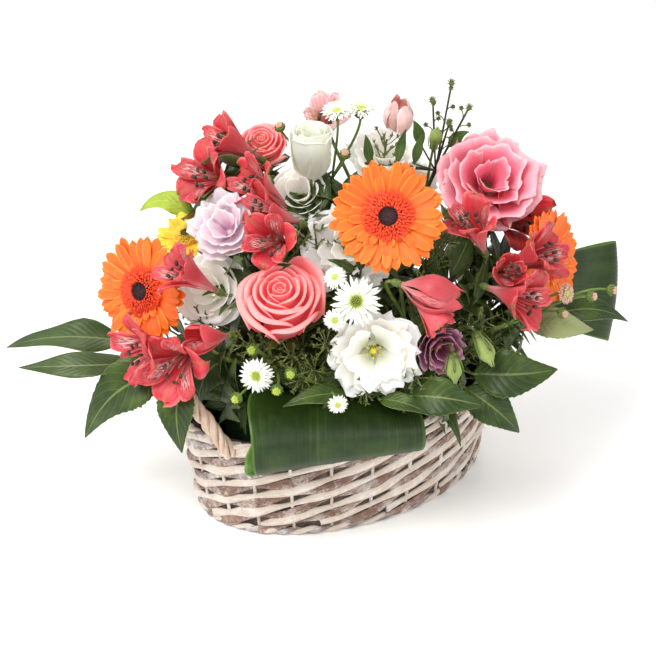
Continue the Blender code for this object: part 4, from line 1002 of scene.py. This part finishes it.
# ---- leaves ---------------------------------------------------------------------------------------------------------
def leaf_surface(base, middle, tip, width, look, teeth, wavy, rng, rows=44, cols=9):
    """A leaf along a curved midrib, folded up at its sides, with a toothed or waved edge."""
    t = np.linspace(0, 1, rows)
    mid = bezier([base, base * 0.5 + middle * 0.5, middle * 1.4 - 0.2 * (base + tip), tip], t)
    ahead = course(mid)
    side = unit_rows(np.cross(ahead, facing(*look)))
    face = np.cross(side, ahead)
    swell = np.where(t < 0.42, (t / 0.42) ** 0.7, np.clip((1 - t) / 0.58, 0, 1) ** 0.8)
    swell = swell * (1 - 0.12 * np.exp(-((t - 0.42) / 0.1) ** 2))
    half = np.maximum(0.5 * width * 1.06 * swell, 0.5)[:, None]
    tooth = 1 - teeth * ((t * 15) % 1.0)
    s = np.linspace(-1, 1, cols)
    far = np.abs(s)
    reach = half * (1 - (1 - tooth[:, None]) * far ** 3)
    phase = phases(rng)
    lift = 0.18 * half * far ** 1.3
    lift = lift + wavy * half * far ** 2 * np.sin(3.2 * math.pi * t[:, None] + phase + 1.4 * np.sign(s))
    quilt = 0.22 * np.cos(TURN * (9 * t[:, None] - 2.4 * far)) * far * (1 - far) * 2
    return mid[:, None] + side[:, None] * (reach * s)[..., None] + face[:, None] * (lift + quilt)[..., None]


def build_leaves(name, hue, fork, leaves):
    rng = dice(name)
    fork = place(*fork)
    blades, green = Shapes(rng), Shapes(rng)
    add_trunk(green, fork, 1.8, 3.0)
    teeth, wavy = {"leaf": (0.07, 0.05), "wavy_leaf": (0.0, 0.2), "lime_leaf": (0.0, 0.12)}[hue]
    for k, (base, middle, tip, width, look) in enumerate(leaves):
        base, middle, tip = place(*base), place(*middle), place(*tip)
        turned_over = float(name == "leaves_right_long" and k == 1)
        surface = leaf_surface(base, middle, tip, width, look, teeth, wavy, rng)
        blades.sheet(surface[:, ::-1], 0.7, kind=turned_over, thin_edge=0.5)
        green.tube(spline([fork, fork * 0.4 + base * 0.6, base, surface[3, 4]], 5), 1.1, 1.1)
        rib = surface[1:-6, 4]
        taper = np.linspace(0.95, 0.25, len(rib))
        green.tube(rib - normals_of(surface[:, ::-1])[1:-6, 4] * 0.35, taper, taper, 6)
    blades.make(name + "_blades", hue, hue, name)
    green.make(name + "_stalks", "stem", "stem")


def build_filler():
    rng = dice("filler")
    fork = place(*FILLER_FORK)
    buds, green, blades = (Shapes(rng) for _ in range(3))
    add_trunk(green, fork, 1.6, 2.6)
    for point in FILLER_TWIGS:
        top = place(*point)
        way = unit(top - fork)
        add_branch(green, fork, top, way, 0.9)
        frame_on = axes_on(way)
        for k in range(5):
            along = fork + (top - fork) * (0.45 + 0.55 * k / 4)
            out = unit(frame_on @ ring(2.4 * k, 1.0, 0.9))
            grows, far, size = (out, 7.0, 0.7) if k < 4 else (way, 0.5, 1.15)
            tip = along + out * far
            green.tube(spline([along, 0.5 * (along + tip) + way, tip], 4), 0.45, 0.45, 6)
            bud_frame = axes_on(grows)
            ball = np.array([(0.5, -0.5), (1.8, 1.0), (1.9, 2.6), (0.8, 4.0)]) * size
            buds.turned_shape(ball, 9, (bud_frame, tip), 0.9)
            for m in range(26):
                angle, high = GOLDEN * m, (m + 0.5) / 26
                spread = bud_frame @ unit(ring(angle, 1.0, 2.6 * high - 0.4))
                path = tip + bud_frame @ np.array([0, 0, 2.0 * size]) + np.outer([1.2, 2.4, 3.8 * size], spread)
                buds.tube(path, [0.4, 0.42, 0.2], [0.3, 0.3, 0.15], 3)
    for base, tip, width in FILLER_LEAVES:
        base, tip = place(*base), place(*tip)
        middle = base * 0.5 + tip * 0.5 + np.array([0.0, 0.0, 4.0])
        surface = leaf_surface(base, middle, tip, width, (0, 30), 0.0, 0.08, rng, 24)
        blades.sheet(surface[:, ::-1], THICK)
        green.tube(spline([fork, base, surface[2, 4]], 5), 0.8, 0.8, 7)
    green.make("filler_twigs_stems", "dark_stem", "filler", "filler_twigs")
    buds.make("filler_twigs_buds", "sprig", "filler")
    blades.make("filler_twigs_leaves", "filler", "filler")


def build_aspidistra_front():
    """A broad leaf bent over the rim in front and rolled back under itself, tighter and nearer the wall at right."""
    rolled = [(-66, 130), (-92, 138), (-118, 136), (-136, 121), (-139, 100), (-129, 86), (-118, 90), (-113, 104),
              (-114, 119), (-121, 129)]
    left, right = np.array([-122.0, 112.0]), np.array([-90.0, 102.0])  # middles of the roll at its ends
    line = spline(np.array(rolled, float) - (-118, 112), 9)
    rows = len(line)
    s = np.linspace(-1, 1, 49)
    share = (s + 1)[:, None] / 2
    k = np.linspace(0, 1, rows) * (len(rolled) - 1)
    half = 50 + 25 * np.sin(math.pi * (np.minimum(k, 7) + 1) / 9)
    # the front of the roll stops short on its left, so that its inside shows there
    short = 13 * smooth(k, 0.8, 3.4) * (1 - smooth(k, 4.4, 5.6)) - 6 * smooth(k, 5.2, 6.6)
    middle = left + (right - left) * share
    surface = np.empty((rows, len(s), 3))
    for i in range(rows):
        flat = middle + line[i] * (1 - 0.38 * share)
        surface[i] = [place(-8 + s[c] * half[i] + short[i] * (1 - share[c, 0]) ** 4, *flat[c]) for c in range(len(s))]
    surface = surface + normals_of(surface) * (0.16 * np.cos(s * 66) + 0.1 * np.cos(s * 23))[None, :, None]
    made = Shapes(None)
    turn_under = int(rows * 5.3 / (len(rolled) - 1))
    made.sheet(surface[: turn_under + 1], 0.8, None, 0.4, thin_edge=0.6)
    made.sheet(surface[turn_under:], 0.8, None, 0.4, 1.0, thin_edge=0.6)
    made.make("aspidistra_front_leaf", "aspidistra", "aspidistra", "aspidistra_front")


def build_aspidistra_right():
    """A broad leaf that runs out to the right and folds back on itself."""
    foot, width, lean = place(116, 26, 164), 88, unit(place(4, 26, 60))
    path = [place(*p) for p in ((150, 34, 168), (200, 28, 160), (300, 52, 150), (222, 80, 140), (178, 74, 136))]
    t = np.linspace(0, 1, 60)
    mid = bezier(path, t)
    ahead = course(mid)
    side = unit_rows(lean - ahead * (ahead @ lean)[:, None])
    half = np.maximum(0.5 * width * np.clip(np.sin(math.pi * (0.06 + 0.8 * t)), 0, 1) ** 0.6, 1.5)[:, None]
    s = np.linspace(-1, 1, 57)[None, :]
    lift = 0.1 * (s * s - 0.4) * half + 0.14 * np.cos(70 * s)
    surface = mid[:, None] + side[:, None] * (half * s)[..., None] + np.cross(side, ahead)[:, None] * lift[..., None]
    rng = dice("aspidistra_right")
    blade, green = Shapes(rng), Shapes(rng)
    blade.sheet(surface, 0.8, None, 0.7, thin_edge=0.6)
    add_trunk(green, foot, 1.8, 3.2)
    green.tube(spline([foot, path[0] * 0.5 + foot * 0.5, path[0] * 0.9 + path[1] * 0.1], 6), 1.9, 1.9, 9, 0.4)
    blade.make("aspidistra_right_leaf", "aspidistra", "aspidistra", "aspidistra_right")
    green.make("aspidistra_right_stalk", "dark_stem", "aspidistra")


# ---- the basket and its handles -------------------------------------------------------------------------------------
def wall_point(z, angle, out=0.0):
    """A point of the basket's wall, out by this much from the bottom of the gaps between its splits."""
    share = (np.clip(z, 0, BASKET_H) / BASKET_H) ** 0.8
    a = FOOT_A + (RIM_A - SPLIT_RELIEF - FOOT_A) * share + out
    b = FOOT_B + (RIM_B - SPLIT_RELIEF - FOOT_B) * share + out
    return np.stack([a * np.cos(angle), b * np.sin(angle), z + 0 * angle], axis=-1)


def split_strand(shapes, angle, z, out, half, thick):
    """A flat split that lies along the wall at these angles and heights."""
    path = wall_point(z, angle, out)
    shapes.tube(path, thick, half, side=wall_point(z, angle, out + 1.0) - path)


def build_basket():
    """Pairs of splits that climb the wall in and out of its stakes, over a plain dark backing, painted shade that shows
    through the gaps of the weave, with twined foot and rim.
    """
    rng = dice("basket")
    kinds = {kind: Shapes(rng) for kind in ("peeled", "bark", "grey")}
    climb = SPLIT_PITCH * SPLIT_COUNT
    run = np.linspace(0, 1, SPLIT_POINTS)
    margin = 7.0  # from where a split starts to the foot, and from where it ends to the rim
    for k in range(SPLIT_COUNT):
        for strand in range(2):
            start = k / SPLIT_COUNT
            share = np.linspace(start + margin / climb, start + (BASKET_H - margin) / climb, SPLIT_POINTS)
            wander = np.interp(run, np.linspace(0, 1, 9), rng.normal(0, 1, 9))
            z = climb * share - SPLIT_PITCH * k + (3.8 if strand else -3.8) + 0.9 * wander
            z = np.clip(z, 5.8, BASKET_H - 5.0)
            weave = np.sin(math.pi * share * STAKES + math.pi * (k + strand))
            width = np.interp(run, np.linspace(0, 1, 12), rng.normal(1.0, 0.12, 12))
            half = ((4.1 if strand else 3.5) + 1.2 * weave) * width
            z = z + 1.1 * weave * (1 if strand else -1)
            which = "peeled" if strand else ("bark" if rng.random() < 0.55 else "grey")
            split_strand(kinds[which], TURN * share, z, (0.5 if strand else -0.1) + 1.4 * weave, half, 1.5)
    full = np.linspace(0, TURN, 200)
    # twined edges: height, out from the wall, turns of the twist, strands, half width of each
    for height, out, turns, count, radius in ((4.4, 0.4, 26, 2, 2.5), (BASKET_H - 4.4, 0.2, 22, 3, 2.4)):
        for c in range(count):
            phase = turns * full + TURN * c / count
            edge = kinds["peeled" if c != 1 else "grey"]
            z = height + 1.5 * np.sin(phase)
            split_strand(edge, full, z, out - 0.6 + 1.3 * np.cos(phase), radius, radius * 0.8)
    kinds["peeled"].make("basket_peeled_splits", "peeled", "willow", "basket")
    kinds["bark"].make("basket_bark_splits", "bark", "willow")
    kinds["grey"].make("basket_grey_splits", "grey", "willow")
    fibres, stakes, tub = (Shapes(rng) for _ in range(3))
    for k in range(40):
        start, height = 6.283 * rng.random(), 8 + (BASKET_H - 16) * rng.random()
        share = np.linspace(0, 1, 6)
        angle = start + (0.03 + 0.05 * rng.random()) * share
        path = wall_point(height + rng.normal(0, 5) * share**2, angle, 1.6 + (2 + 3 * rng.random()) * share**2)
        fibres.tube(path, 0.32, 0.22, 5)
    fibres.make("basket_fibres", "peeled", "willow")
    for k in range(STAKES):
        angle = np.full(12, TURN * (k + 0.5) / STAKES)
        stakes.tube(wall_point(np.linspace(2.0, BASKET_H - 3.0, 12), angle, -0.9), 1.5, 1.5)
    stakes.make("basket_stakes", "stake", "willow")
    # a plain dark wall behind the splits, painted shade that shows through the gaps of the weave, and the basket's
    # floor
    around = np.linspace(0, TURN, 97)
    outer = np.stack([wall_point(np.full(97, z), around, -2.6) for z in np.linspace(1.0, BASKET_H - 1.0, 9)])
    tub.sheet(outer, 3.0, None, 0.5, thin_edge=1.0)
    floor_a, floor_b = FOOT_A - 2.0, FOOT_B - 2.0
    floor = [(0.01, 0.4), (floor_a, 0.4), (floor_a, FLOOR_T), (0.01, FLOOR_T)]
    tub.turned_shape(floor, 72, (np.diag([1.0, floor_b / floor_a, 1.0]), np.zeros(3)), 0.4)
    tub.make("basket_backing", "inside", "willow")


def build_handle(name, side):
    """A loop of three twisted strands, each of two splits, standing on the rim and leaning out."""
    rng = dice(name)
    foot, top, half = 126.0 * side, 168.0 * side, 46.0
    low, high = 84, 164
    bend = [(foot, -half, low), (top, -half * 0.9, high), (top, half * 0.9, high), (foot, half, low)]
    twist, apart = math.radians(1750), 0.62  # of a strand over the whole loop, and between its two splits
    t = np.linspace(0, 1, 120)
    mid = bezier(bend, t)
    ahead = course(mid)
    flat = unit_rows(np.cross(ahead, unit([side * 0.9, 0.0, 0.0])))
    other = np.cross(ahead, flat)
    made = Shapes(rng)
    for c in range(6):
        # three strands go round each other, each of two splits side by side
        angle = TURN * (c // 2) / 3 + twist * t + apart * (c % 2) + 0.2 * np.sin(9 * t + c)
        away = 3.9 * (1 + 0.08 * np.sin(15 * t + 2 * c))
        centre_line = mid + flat * (away * np.cos(angle))[:, None] + other * (away * np.sin(angle))[:, None]
        width = 2.8 * (1 + 0.12 * np.interp(t, np.linspace(0, 1, 12), rng.normal(0, 1, 12)))
        made.tube(centre_line, width, width * 0.85)
    made.make(name + "_splits", "rope", "rope", name)


# ---- the layout: points are (right, back, up) from the front, looks are (turn, rise) --------------------------------
GERBERAS = [
    ("gerbera_centre", (34, -66, 280), (3, 33), 46), ("gerbera_left", (-158, -44, 204), (-34, 20), 46),
    ("gerbera_right", (168, 4, 208), (54, 16), 44), ("gerbera_yellow", (-127, 2, 227), (-10, 70), 26),
]
# name, centre, look, radius, depth
ROSES = [
    ("rose_front", (-48, -88, 222), (-4, 60), 36, 56), ("rose_back", (-66, 60, 286), (-10, 58), 24, 30),
]
# name, colour, centre, look, radius, depth, opening
LISIANTHUS = [
    ("white_back", "white", (8, -36, 240), (-14, 42), 40, 34, 0.8),
    ("white_front", "white", (24, -112, 186), (2, 16), 37, 32, 0.8),
    ("white_left", "white", (-106, -44, 204), (-24, 34), 33, 30, 0.75),
    ("white_middle", "white", (-34, 14, 262), (-14, 50), 26, 28, 0.6),
    ("white_top", "white", (34, 30, 288), (10, 64), 29, 32, 0.7),
    ("white_bud", "cream_green", (-25, 16, 312), (-4, 84), 19, 42, 0.12),
    ("lavender", "lavender", (-93, -30, 254), (-16, 42), 29, 26, 0.7),
    ("mauve", "mauve", (77, -94, 180), (18, 10), 20, 26, 0.5),
    ("pink", "pink", (121, 24, 270), (10, 44), 46, 34, 0.85),
    ("white_rear", "white", (52, 96, 244), (160, 40), 36, 32, 0.8),
]
# each green stem: name, fork, blooms on it, buds as (point, look, radius, length)
LISIANTHUS_STEMS = [
    ("stem_white_middle", (-22, 0, 200), ("white_back", "white_middle", "white_bud"), [
        ((-62, 24, 268), (-40, 60), 6, 24),
    ]),
    ("stem_white_front", (64, -58, 150), ("white_front", "mauve"), [
        ((110, -98, 182), (40, -46), 8, 30), ((86, -110, 172), (10, -60), 7, 24),
    ]),
    ("stem_white_left", (-72, -26, 178), ("white_left", "lavender"), []),
    ("stem_pink", (62, 20, 200), ("white_top", "pink"), [((76, 36, 302), (20, 70), 6, 24)]),
    ("stem_rear", (34, 62, 176), ("white_rear",), [((14, 100, 226), (190, 40), 7, 26)]),
]
# name, colour, fork, blooms as (centre, look, radius, opening)
ALSTROEMERIA = [
    ("spray_red_upper", "red", (-82, 20, 240), [
        ((-116, 16, 280), (-50, 30), 30, 0.9), ((-101, 32, 306), (-75, 35), 28, 0.6),
        ((-76, -8, 286), (-62, 42), 30, 0.55),
    ]),
    ("spray_red_middle", "red", (-62, -46, 206), [
        ((-68, -38, 276), (-66, 30), 27, 0.5), ((-57, -78, 267), (-20, 30), 29, 0.62),
        ((-132, -72, 240), (-70, 38), 29, 0.6),
    ]),
    ("spray_red_low", "red", (-92, -70, 156), [
        ((-166, -88, 174), (-50, 10), 33, 0.8), ((-134, -108, 170), (-20, 10), 34, 0.8),
        ((-118, -102, 192), (-50, 14), 23, 0.4),
    ]),
    ("spray_red_right", "red", (104, -34, 204), [
        ((98, -54, 276), (-44, 62), 29, 0.6), ((164, -50, 244), (62, 34), 31, 0.6),
        ((147, -84, 216), (48, 4), 30, 0.72), ((130, -70, 236), (10, 30), 22, 0.45),
    ]),
    ("spray_red_centre", "red", (48, -74, 196), [
        ((88, -104, 228), (82, -14), 27, 0.3), ((76, -110, 208), (60, -40), 22, 0.45),
    ]),
    ("spray_red_rear", "red", (96, 60, 204), [
        ((150, 16, 242), (34, 32), 33, 0.8), ((118, 94, 236), (140, 36), 28, 0.8),
    ]),
    ("spray_blush", "blush", (8, 50, 256), [((-14, 46, 320), (-10, 50), 23, 0.75), ((47, 52, 328), (10, 78), 22, 0.3)]),
]
# name, fork, heads as (centre, look, radius); a radius of 6 or less is a bud
ASTERS = [
    ("asters_centre", (0, -76, 206), [
        ((10, -112, 232), (-4, 30), 19), ((-6, -100, 246), (-20, 44), 9), ((-6, -117, 219), (-10, 10), 9),
    ]),
    ("asters_left", (-52, -84, 160), [
        ((-66, -124, 174), (-14, 14), 14), ((-80, -128, 158), (-24, 4), 5), ((-68, -116, 192), (-18, 26), 5),
        ((-40, -128, 180), (0, 10), 5), ((-50, -132, 168), (-6, 6), 5), ((-4, -140, 158), (0, 4), 8),
    ]),
    ("asters_top", (-8, 30, 268), [
        ((-4, 20, 330), (-10, 74), 13), ((15, 25, 330), (10, 76), 14), ((-50, 48, 304), (-30, 60), 5),
        ((2, 4, 300), (0, 50), 5),
    ]),
    ("asters_right", (132, -50, 176), [
        ((178, -52, 206), (46, 20), 9), ((172, -60, 194), (40, 6), 5), ((196, -46, 200), (60, 14), 5),
        ((214, -34, 200), (64, 4), 5),
    ]),
    ("asters_rear", (-60, 60, 190), [((-78, 110, 216), (196, 30), 16), ((-52, 112, 194), (180, 16), 13)]),
]
FILLER_FORK = (78, 52, 266)
FILLER_TWIGS = [(88, 48, 342), (74, 50, 326), (102, 46, 322), (86, 34, 314)]
# base, tip, width
FILLER_LEAVES = [
    ((66, 52, 288), (58, 44, 314), 11), ((88, 50, 288), (104, 44, 304), 11), ((22, 6, 292), (18, 0, 320), 9),
    ((44, 8, 292), (50, 2, 324), 9), ((58, 12, 290), (64, 6, 318), 9),
]
# name, colour, start of the blades, leaves as (base, middle, tip, width, way the face looks)
LEAVES = [
    ("leaves_left_low", "leaf", (-112, -58, 160), [
        ((-140, -80, 150), (-182, -88, 140), (-211, -76, 84), 48, (-10, 34)),
        ((-128, -92, 148), (-132, -112, 130), (-128, -112, 94), 38, (-20, 20)),
        ((-92, -62, 150), (-110, -72, 148), (-118, -74, 112), 40, (-6, 30)),
    ]),
    ("leaves_left_high", "wavy_leaf", (-134, -34, 152), [
        ((-172, -36, 152), (-230, -52, 168), (-277, -32, 144), 35, (-10, 70)),
        ((-164, -58, 144), (-220, -78, 154), (-264, -54, 138), 27, (-10, 60)),
    ]),
    ("leaves_right", "leaf", (84, -70, 152), [
        ((104, -86, 152), (138, -98, 158), (172, -76, 150), 44, (14, 40)),
        ((98, -88, 140), (122, -108, 132), (142, -98, 104), 38, (20, 30)),
    ]),
    ("leaves_right_long", "leaf", (146, -20, 172), [
        ((168, -28, 172), (206, -26, 180), (239, -10, 156), 30, (10, 60)),
        ((150, -44, 176), (176, -64, 184), (204, -44, 168), 32, (10, 50)),
    ]),
    ("leaves_front", "leaf", (26, -96, 146), [
        ((52, -112, 148), (80, -124, 154), (110, -118, 142), 36, (10, 40)),
        ((28, -120, 150), (48, -134, 156), (68, -134, 144), 18, (0, 60)),
        ((4, -116, 152), (-22, -132, 162), (-46, -134, 152), 20, (0, 60)),
    ]),
    ("leaves_lime", "lime_leaf", (-98, 28, 236), [
        ((-122, 26, 238), (-148, 30, 252), (-168, 32, 238), 24, (-20, 60)),
        ((-104, 34, 262), (-110, 36, 280), (-106, 40, 294), 13, (-30, 20)),
    ]),
    ("leaves_rear_left", "leaf", (-84, 56, 158), [
        ((-110, 76, 168), (-150, 100, 180), (-176, 104, 140), 46, (216, 50)),
        ((-86, 86, 156), (-106, 124, 160), (-120, 128, 108), 44, (200, 40)),
        ((-130, 44, 182), (-176, 46, 196), (-206, 40, 160), 40, (240, 50)),
    ]),
    ("leaves_rear", "leaf", (0, 74, 152), [
        ((-16, 94, 164), (-36, 134, 176), (-44, 144, 126), 46, (186, 40)),
        ((14, 96, 156), (34, 136, 160), (46, 142, 104), 46, (170, 40)),
    ]),
    ("leaves_rear_right", "leaf", (92, 52, 156), [
        ((116, 70, 168), (154, 92, 182), (186, 88, 142), 46, (150, 50)),
        ((88, 84, 154), (104, 124, 160), (112, 132, 110), 44, (164, 40)),
        ((112, 66, 188), (140, 92, 208), (164, 104, 184), 38, (150, 50)),
    ]),
]
# hollows among the blooms that leafy twigs fill
HOLLOWS = [
    (118, -6, 216), (134, 6, 204), (104, 14, 238), (-100, -66, 126), (-90, -82, 134), (-56, 40, 254), (-88, 44, 256),
    (8, 10, 266), (126, -54, 150), (150, -30, 152), (92, -40, 214), (66, -84, 180), (-118, 20, 246),
    (-97, 44, 270), (-86, 36, 262), (-100, 24, 258), (126, 40, 250),
    (140, -30, 178), (128, -12, 186), (150, -6, 176),
]
# tops of the feathery twigs that stand in front
FEATHERY = [
    (86, -46, 270), (80, -60, 258), (-42, -112, 186), (-24, -118, 176), (-62, -108, 180), (18, -122, 160),
    (58, -118, 168), (104, -92, 180), (-14, -116, 200), (-34, -120, 168), (-78, -96, 186), (36, 24, 306),
    (62, -96, 240), (112, -80, 198),
]


def twigs_of_the_dome(rng):
    """Top and kind of each twig: over the whole dome, in its hollows, and the feathery ones in front."""
    twigs = []
    for k in range(DOME_TWIGS):
        way = facing(math.degrees(GOLDEN * k), 8 + 76 * ((k + 0.5) / DOME_TWIGS) ** 1.1)
        side = turned(way, -FRONT_TURN)
        reach = np.sum(np.abs(side / np.array([158.0, 100.0, 168.0])) ** 2.6) ** (-1 / 2.6)
        top = HEART + way * reach * (0.56 + 0.16 * rng.random() + 0.26 * (k % 2)) + np.array([0, 0, 12])
        twigs.append((top, ("deep", "feathery", "deep", "leafy")[k % 4]))
    for point in HOLLOWS:
        twigs += [(place(*point) + rng.normal(0, 6, 3), kind) for kind in ("deep", "leafy")]
    return twigs + [(place(*point), "feathery") for point in FEATHERY]


def build_undergrowth():
    """Short leafy twigs that stand in the foam between the blooms' stems and fill the dome."""
    rng = dice("undergrowth")
    blades, green, sprigs = (Shapes(rng) for _ in range(3))
    for top, kind in twigs_of_the_dome(rng):
        way = unit(top - HEART)
        side = turned(way, -FRONT_TURN)
        look = math.degrees(math.atan2(side[0], -side[1])), math.degrees(math.asin(way[2]))
        add_stem(green, stem_path(top, unit(way + [0, 0, 0.5]), None, 0.4, 6), 0.9, 5)
        frame_on = axes_on(way)
        if kind == "feathery":
            for j in range(16):
                out = frame_on @ ring(2.4 * j, 1.0, 0.9)
                base = top - way * (30 - 1.9 * j)
                tip = base + out * (7.0 + 3 * rng.random())
                path = np.array([base, 0.5 * (base + tip) - way * 1.0, tip])
                sprigs.tube(path, np.linspace(0.5, 0.9, 3), 0.35, 4)
                for _ in range(5):
                    spread = unit(out + frame_on @ np.array([rng.normal(), rng.normal(), 0.8 + rng.normal()]))
                    path = np.array([tip, tip + spread * 1.8, tip + spread * 3.6])
                    sprigs.tube(path, [0.5, 0.8, 0.2], [0.3, 0.4, 0.15], 3)
            continue
        rise, shortest = (0.35, 36) if kind == "deep" else (0.6, 26)
        for j in range(5):
            out = frame_on @ ring(TURN * j / 5 + rng.random(), 1.0, rise)
            base = top - way * (4 + 7 * j)
            length = shortest + 14 * rng.random()
            tip = base + out * length
            middle = 0.5 * (base + tip) + way * 5
            surface = leaf_surface(base, middle, tip, length * 0.46, look, 0.05, 0.08, rng, 7, 5)
            blades.sheet(surface[:, ::-1], THICK)
    blades.make("undergrowth_blades", "leaf", "leaf")
    green.make("undergrowth_stalks", "dark_stem", "stem")
    sprigs.make("undergrowth_sprigs", "sprig", "stem")


# ---- building -------------------------------------------------------------------------------------------------------
build_basket()
build_handle("handle_left", -1)
build_handle("handle_right", 1)
for number, row in enumerate(GERBERAS):
    build_gerbera(*row, number)
for row in ROSES:
    build_rose(*row)
for number, row in enumerate(LISIANTHUS):
    build_lisianthus(*row, number)
for build, rows in (
    (build_lisianthus_stem, LISIANTHUS_STEMS), (build_alstroemeria, ALSTROEMERIA), (build_aster, ASTERS),
    (build_leaves, LEAVES),
):
    for row in rows:
        build(*row)
build_filler()
build_aspidistra_front()
build_aspidistra_right()
build_undergrowth()
for node, look in (("liner", "film"), ("foam", "foam")):
    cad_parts[node].material_slots[0].material = LOOKS[look]


# ---- floor, light and camera ----------------------------------------------------------------------------------------
WHITE, LAMPLIGHT = (1.0, 1.0, 1.0, 1.0), (1.0, 0.97, 0.93)
FLOOR_HALF = 6.0  # metres, as all below
LAMPS = (  # name, way to it, distance, size, power in watts
    ("key", facing(-40, 58), 1.6, 0.9, 20.0), ("fill", facing(45, 25), 1.8, 1.2, 7.0),
    ("back", facing(170, 50), 1.8, 1.0, 8.0), ("side", facing(-80, 22), 1.8, 1.4, 8.0),
)
LAMP_TARGET, CAMERA_TARGET = (0.0, 0.0, 0.12), place(-11.5, 0.0, 147.0) * MM
CAMERA_WAY, CAMERA_DISTANCE, CAMERA_LENS = facing(0.0, 30.0), 1.3, 84.5


def add_to_scene(name, data):
    made = bpy.data.objects.new(name, data)
    bpy.context.scene.collection.objects.link(made)
    return made


def aim(thing, way):
    """Turns a lamp or camera so that it looks this way."""
    ahead = thing.location.copy()
    ahead.xyz = way
    thing.rotation_mode = "QUATERNION"
    thing.rotation_quaternion = ahead.to_track_quat("-Z", "Y")


def build_studio():
    mesh = bpy.data.meshes.new("floor")
    corners = [(x * FLOOR_HALF, y * FLOOR_HALF, 0) for x, y in ((-1, -1), (1, -1), (1, 1), (-1, 1))]
    mesh.from_pydata(corners, [], [(0, 1, 2, 3)])
    made = Look("floor", 0.9, Emission_Color=WHITE, Emission_Strength=0.1)
    paper = made.mix(made.noise(3.0, 2.0), (0.93, 0.93, 0.93, 1.0), (0.95, 0.95, 0.95, 1.0))
    made.link(paper, made.shader["Base Color"])
    mesh.materials.append(made.material)
    floor = add_to_scene("floor", mesh)
    world = bpy.data.worlds.new("studio")
    world.use_nodes = True
    world.node_tree.nodes["Background"].inputs["Color"].default_value = WHITE
    world.node_tree.nodes["Background"].inputs["Strength"].default_value = 0.68
    bpy.context.scene.world = world
    for name, way, distance, size, power in LAMPS:
        light = bpy.data.lights.new(name, "AREA")
        light.shape, light.size, light.energy, light.color = "DISK", size, power, LAMPLIGHT
        lamp = add_to_scene(name, light)
        lamp.location = [c * distance for c in way]
        lamp.location.z += 0.1
        aim(lamp, [t - c for t, c in zip(LAMP_TARGET, lamp.location)])


def build_camera():
    """The main view: from the arrangement's front, 30 degrees above level, 1.3 m away."""
    data = bpy.data.cameras.new("camera")
    data.sensor_width = 36.0
    data.lens = CAMERA_LENS
    camera = add_to_scene("camera", data)
    camera.location = CAMERA_TARGET + CAMERA_WAY * CAMERA_DISTANCE
    aim(camera, -CAMERA_WAY)
    bpy.context.scene.camera = camera


build_studio()
build_camera()
bpy.context.scene.view_settings.view_transform = "Standard"
bpy.context.view_layer.update()
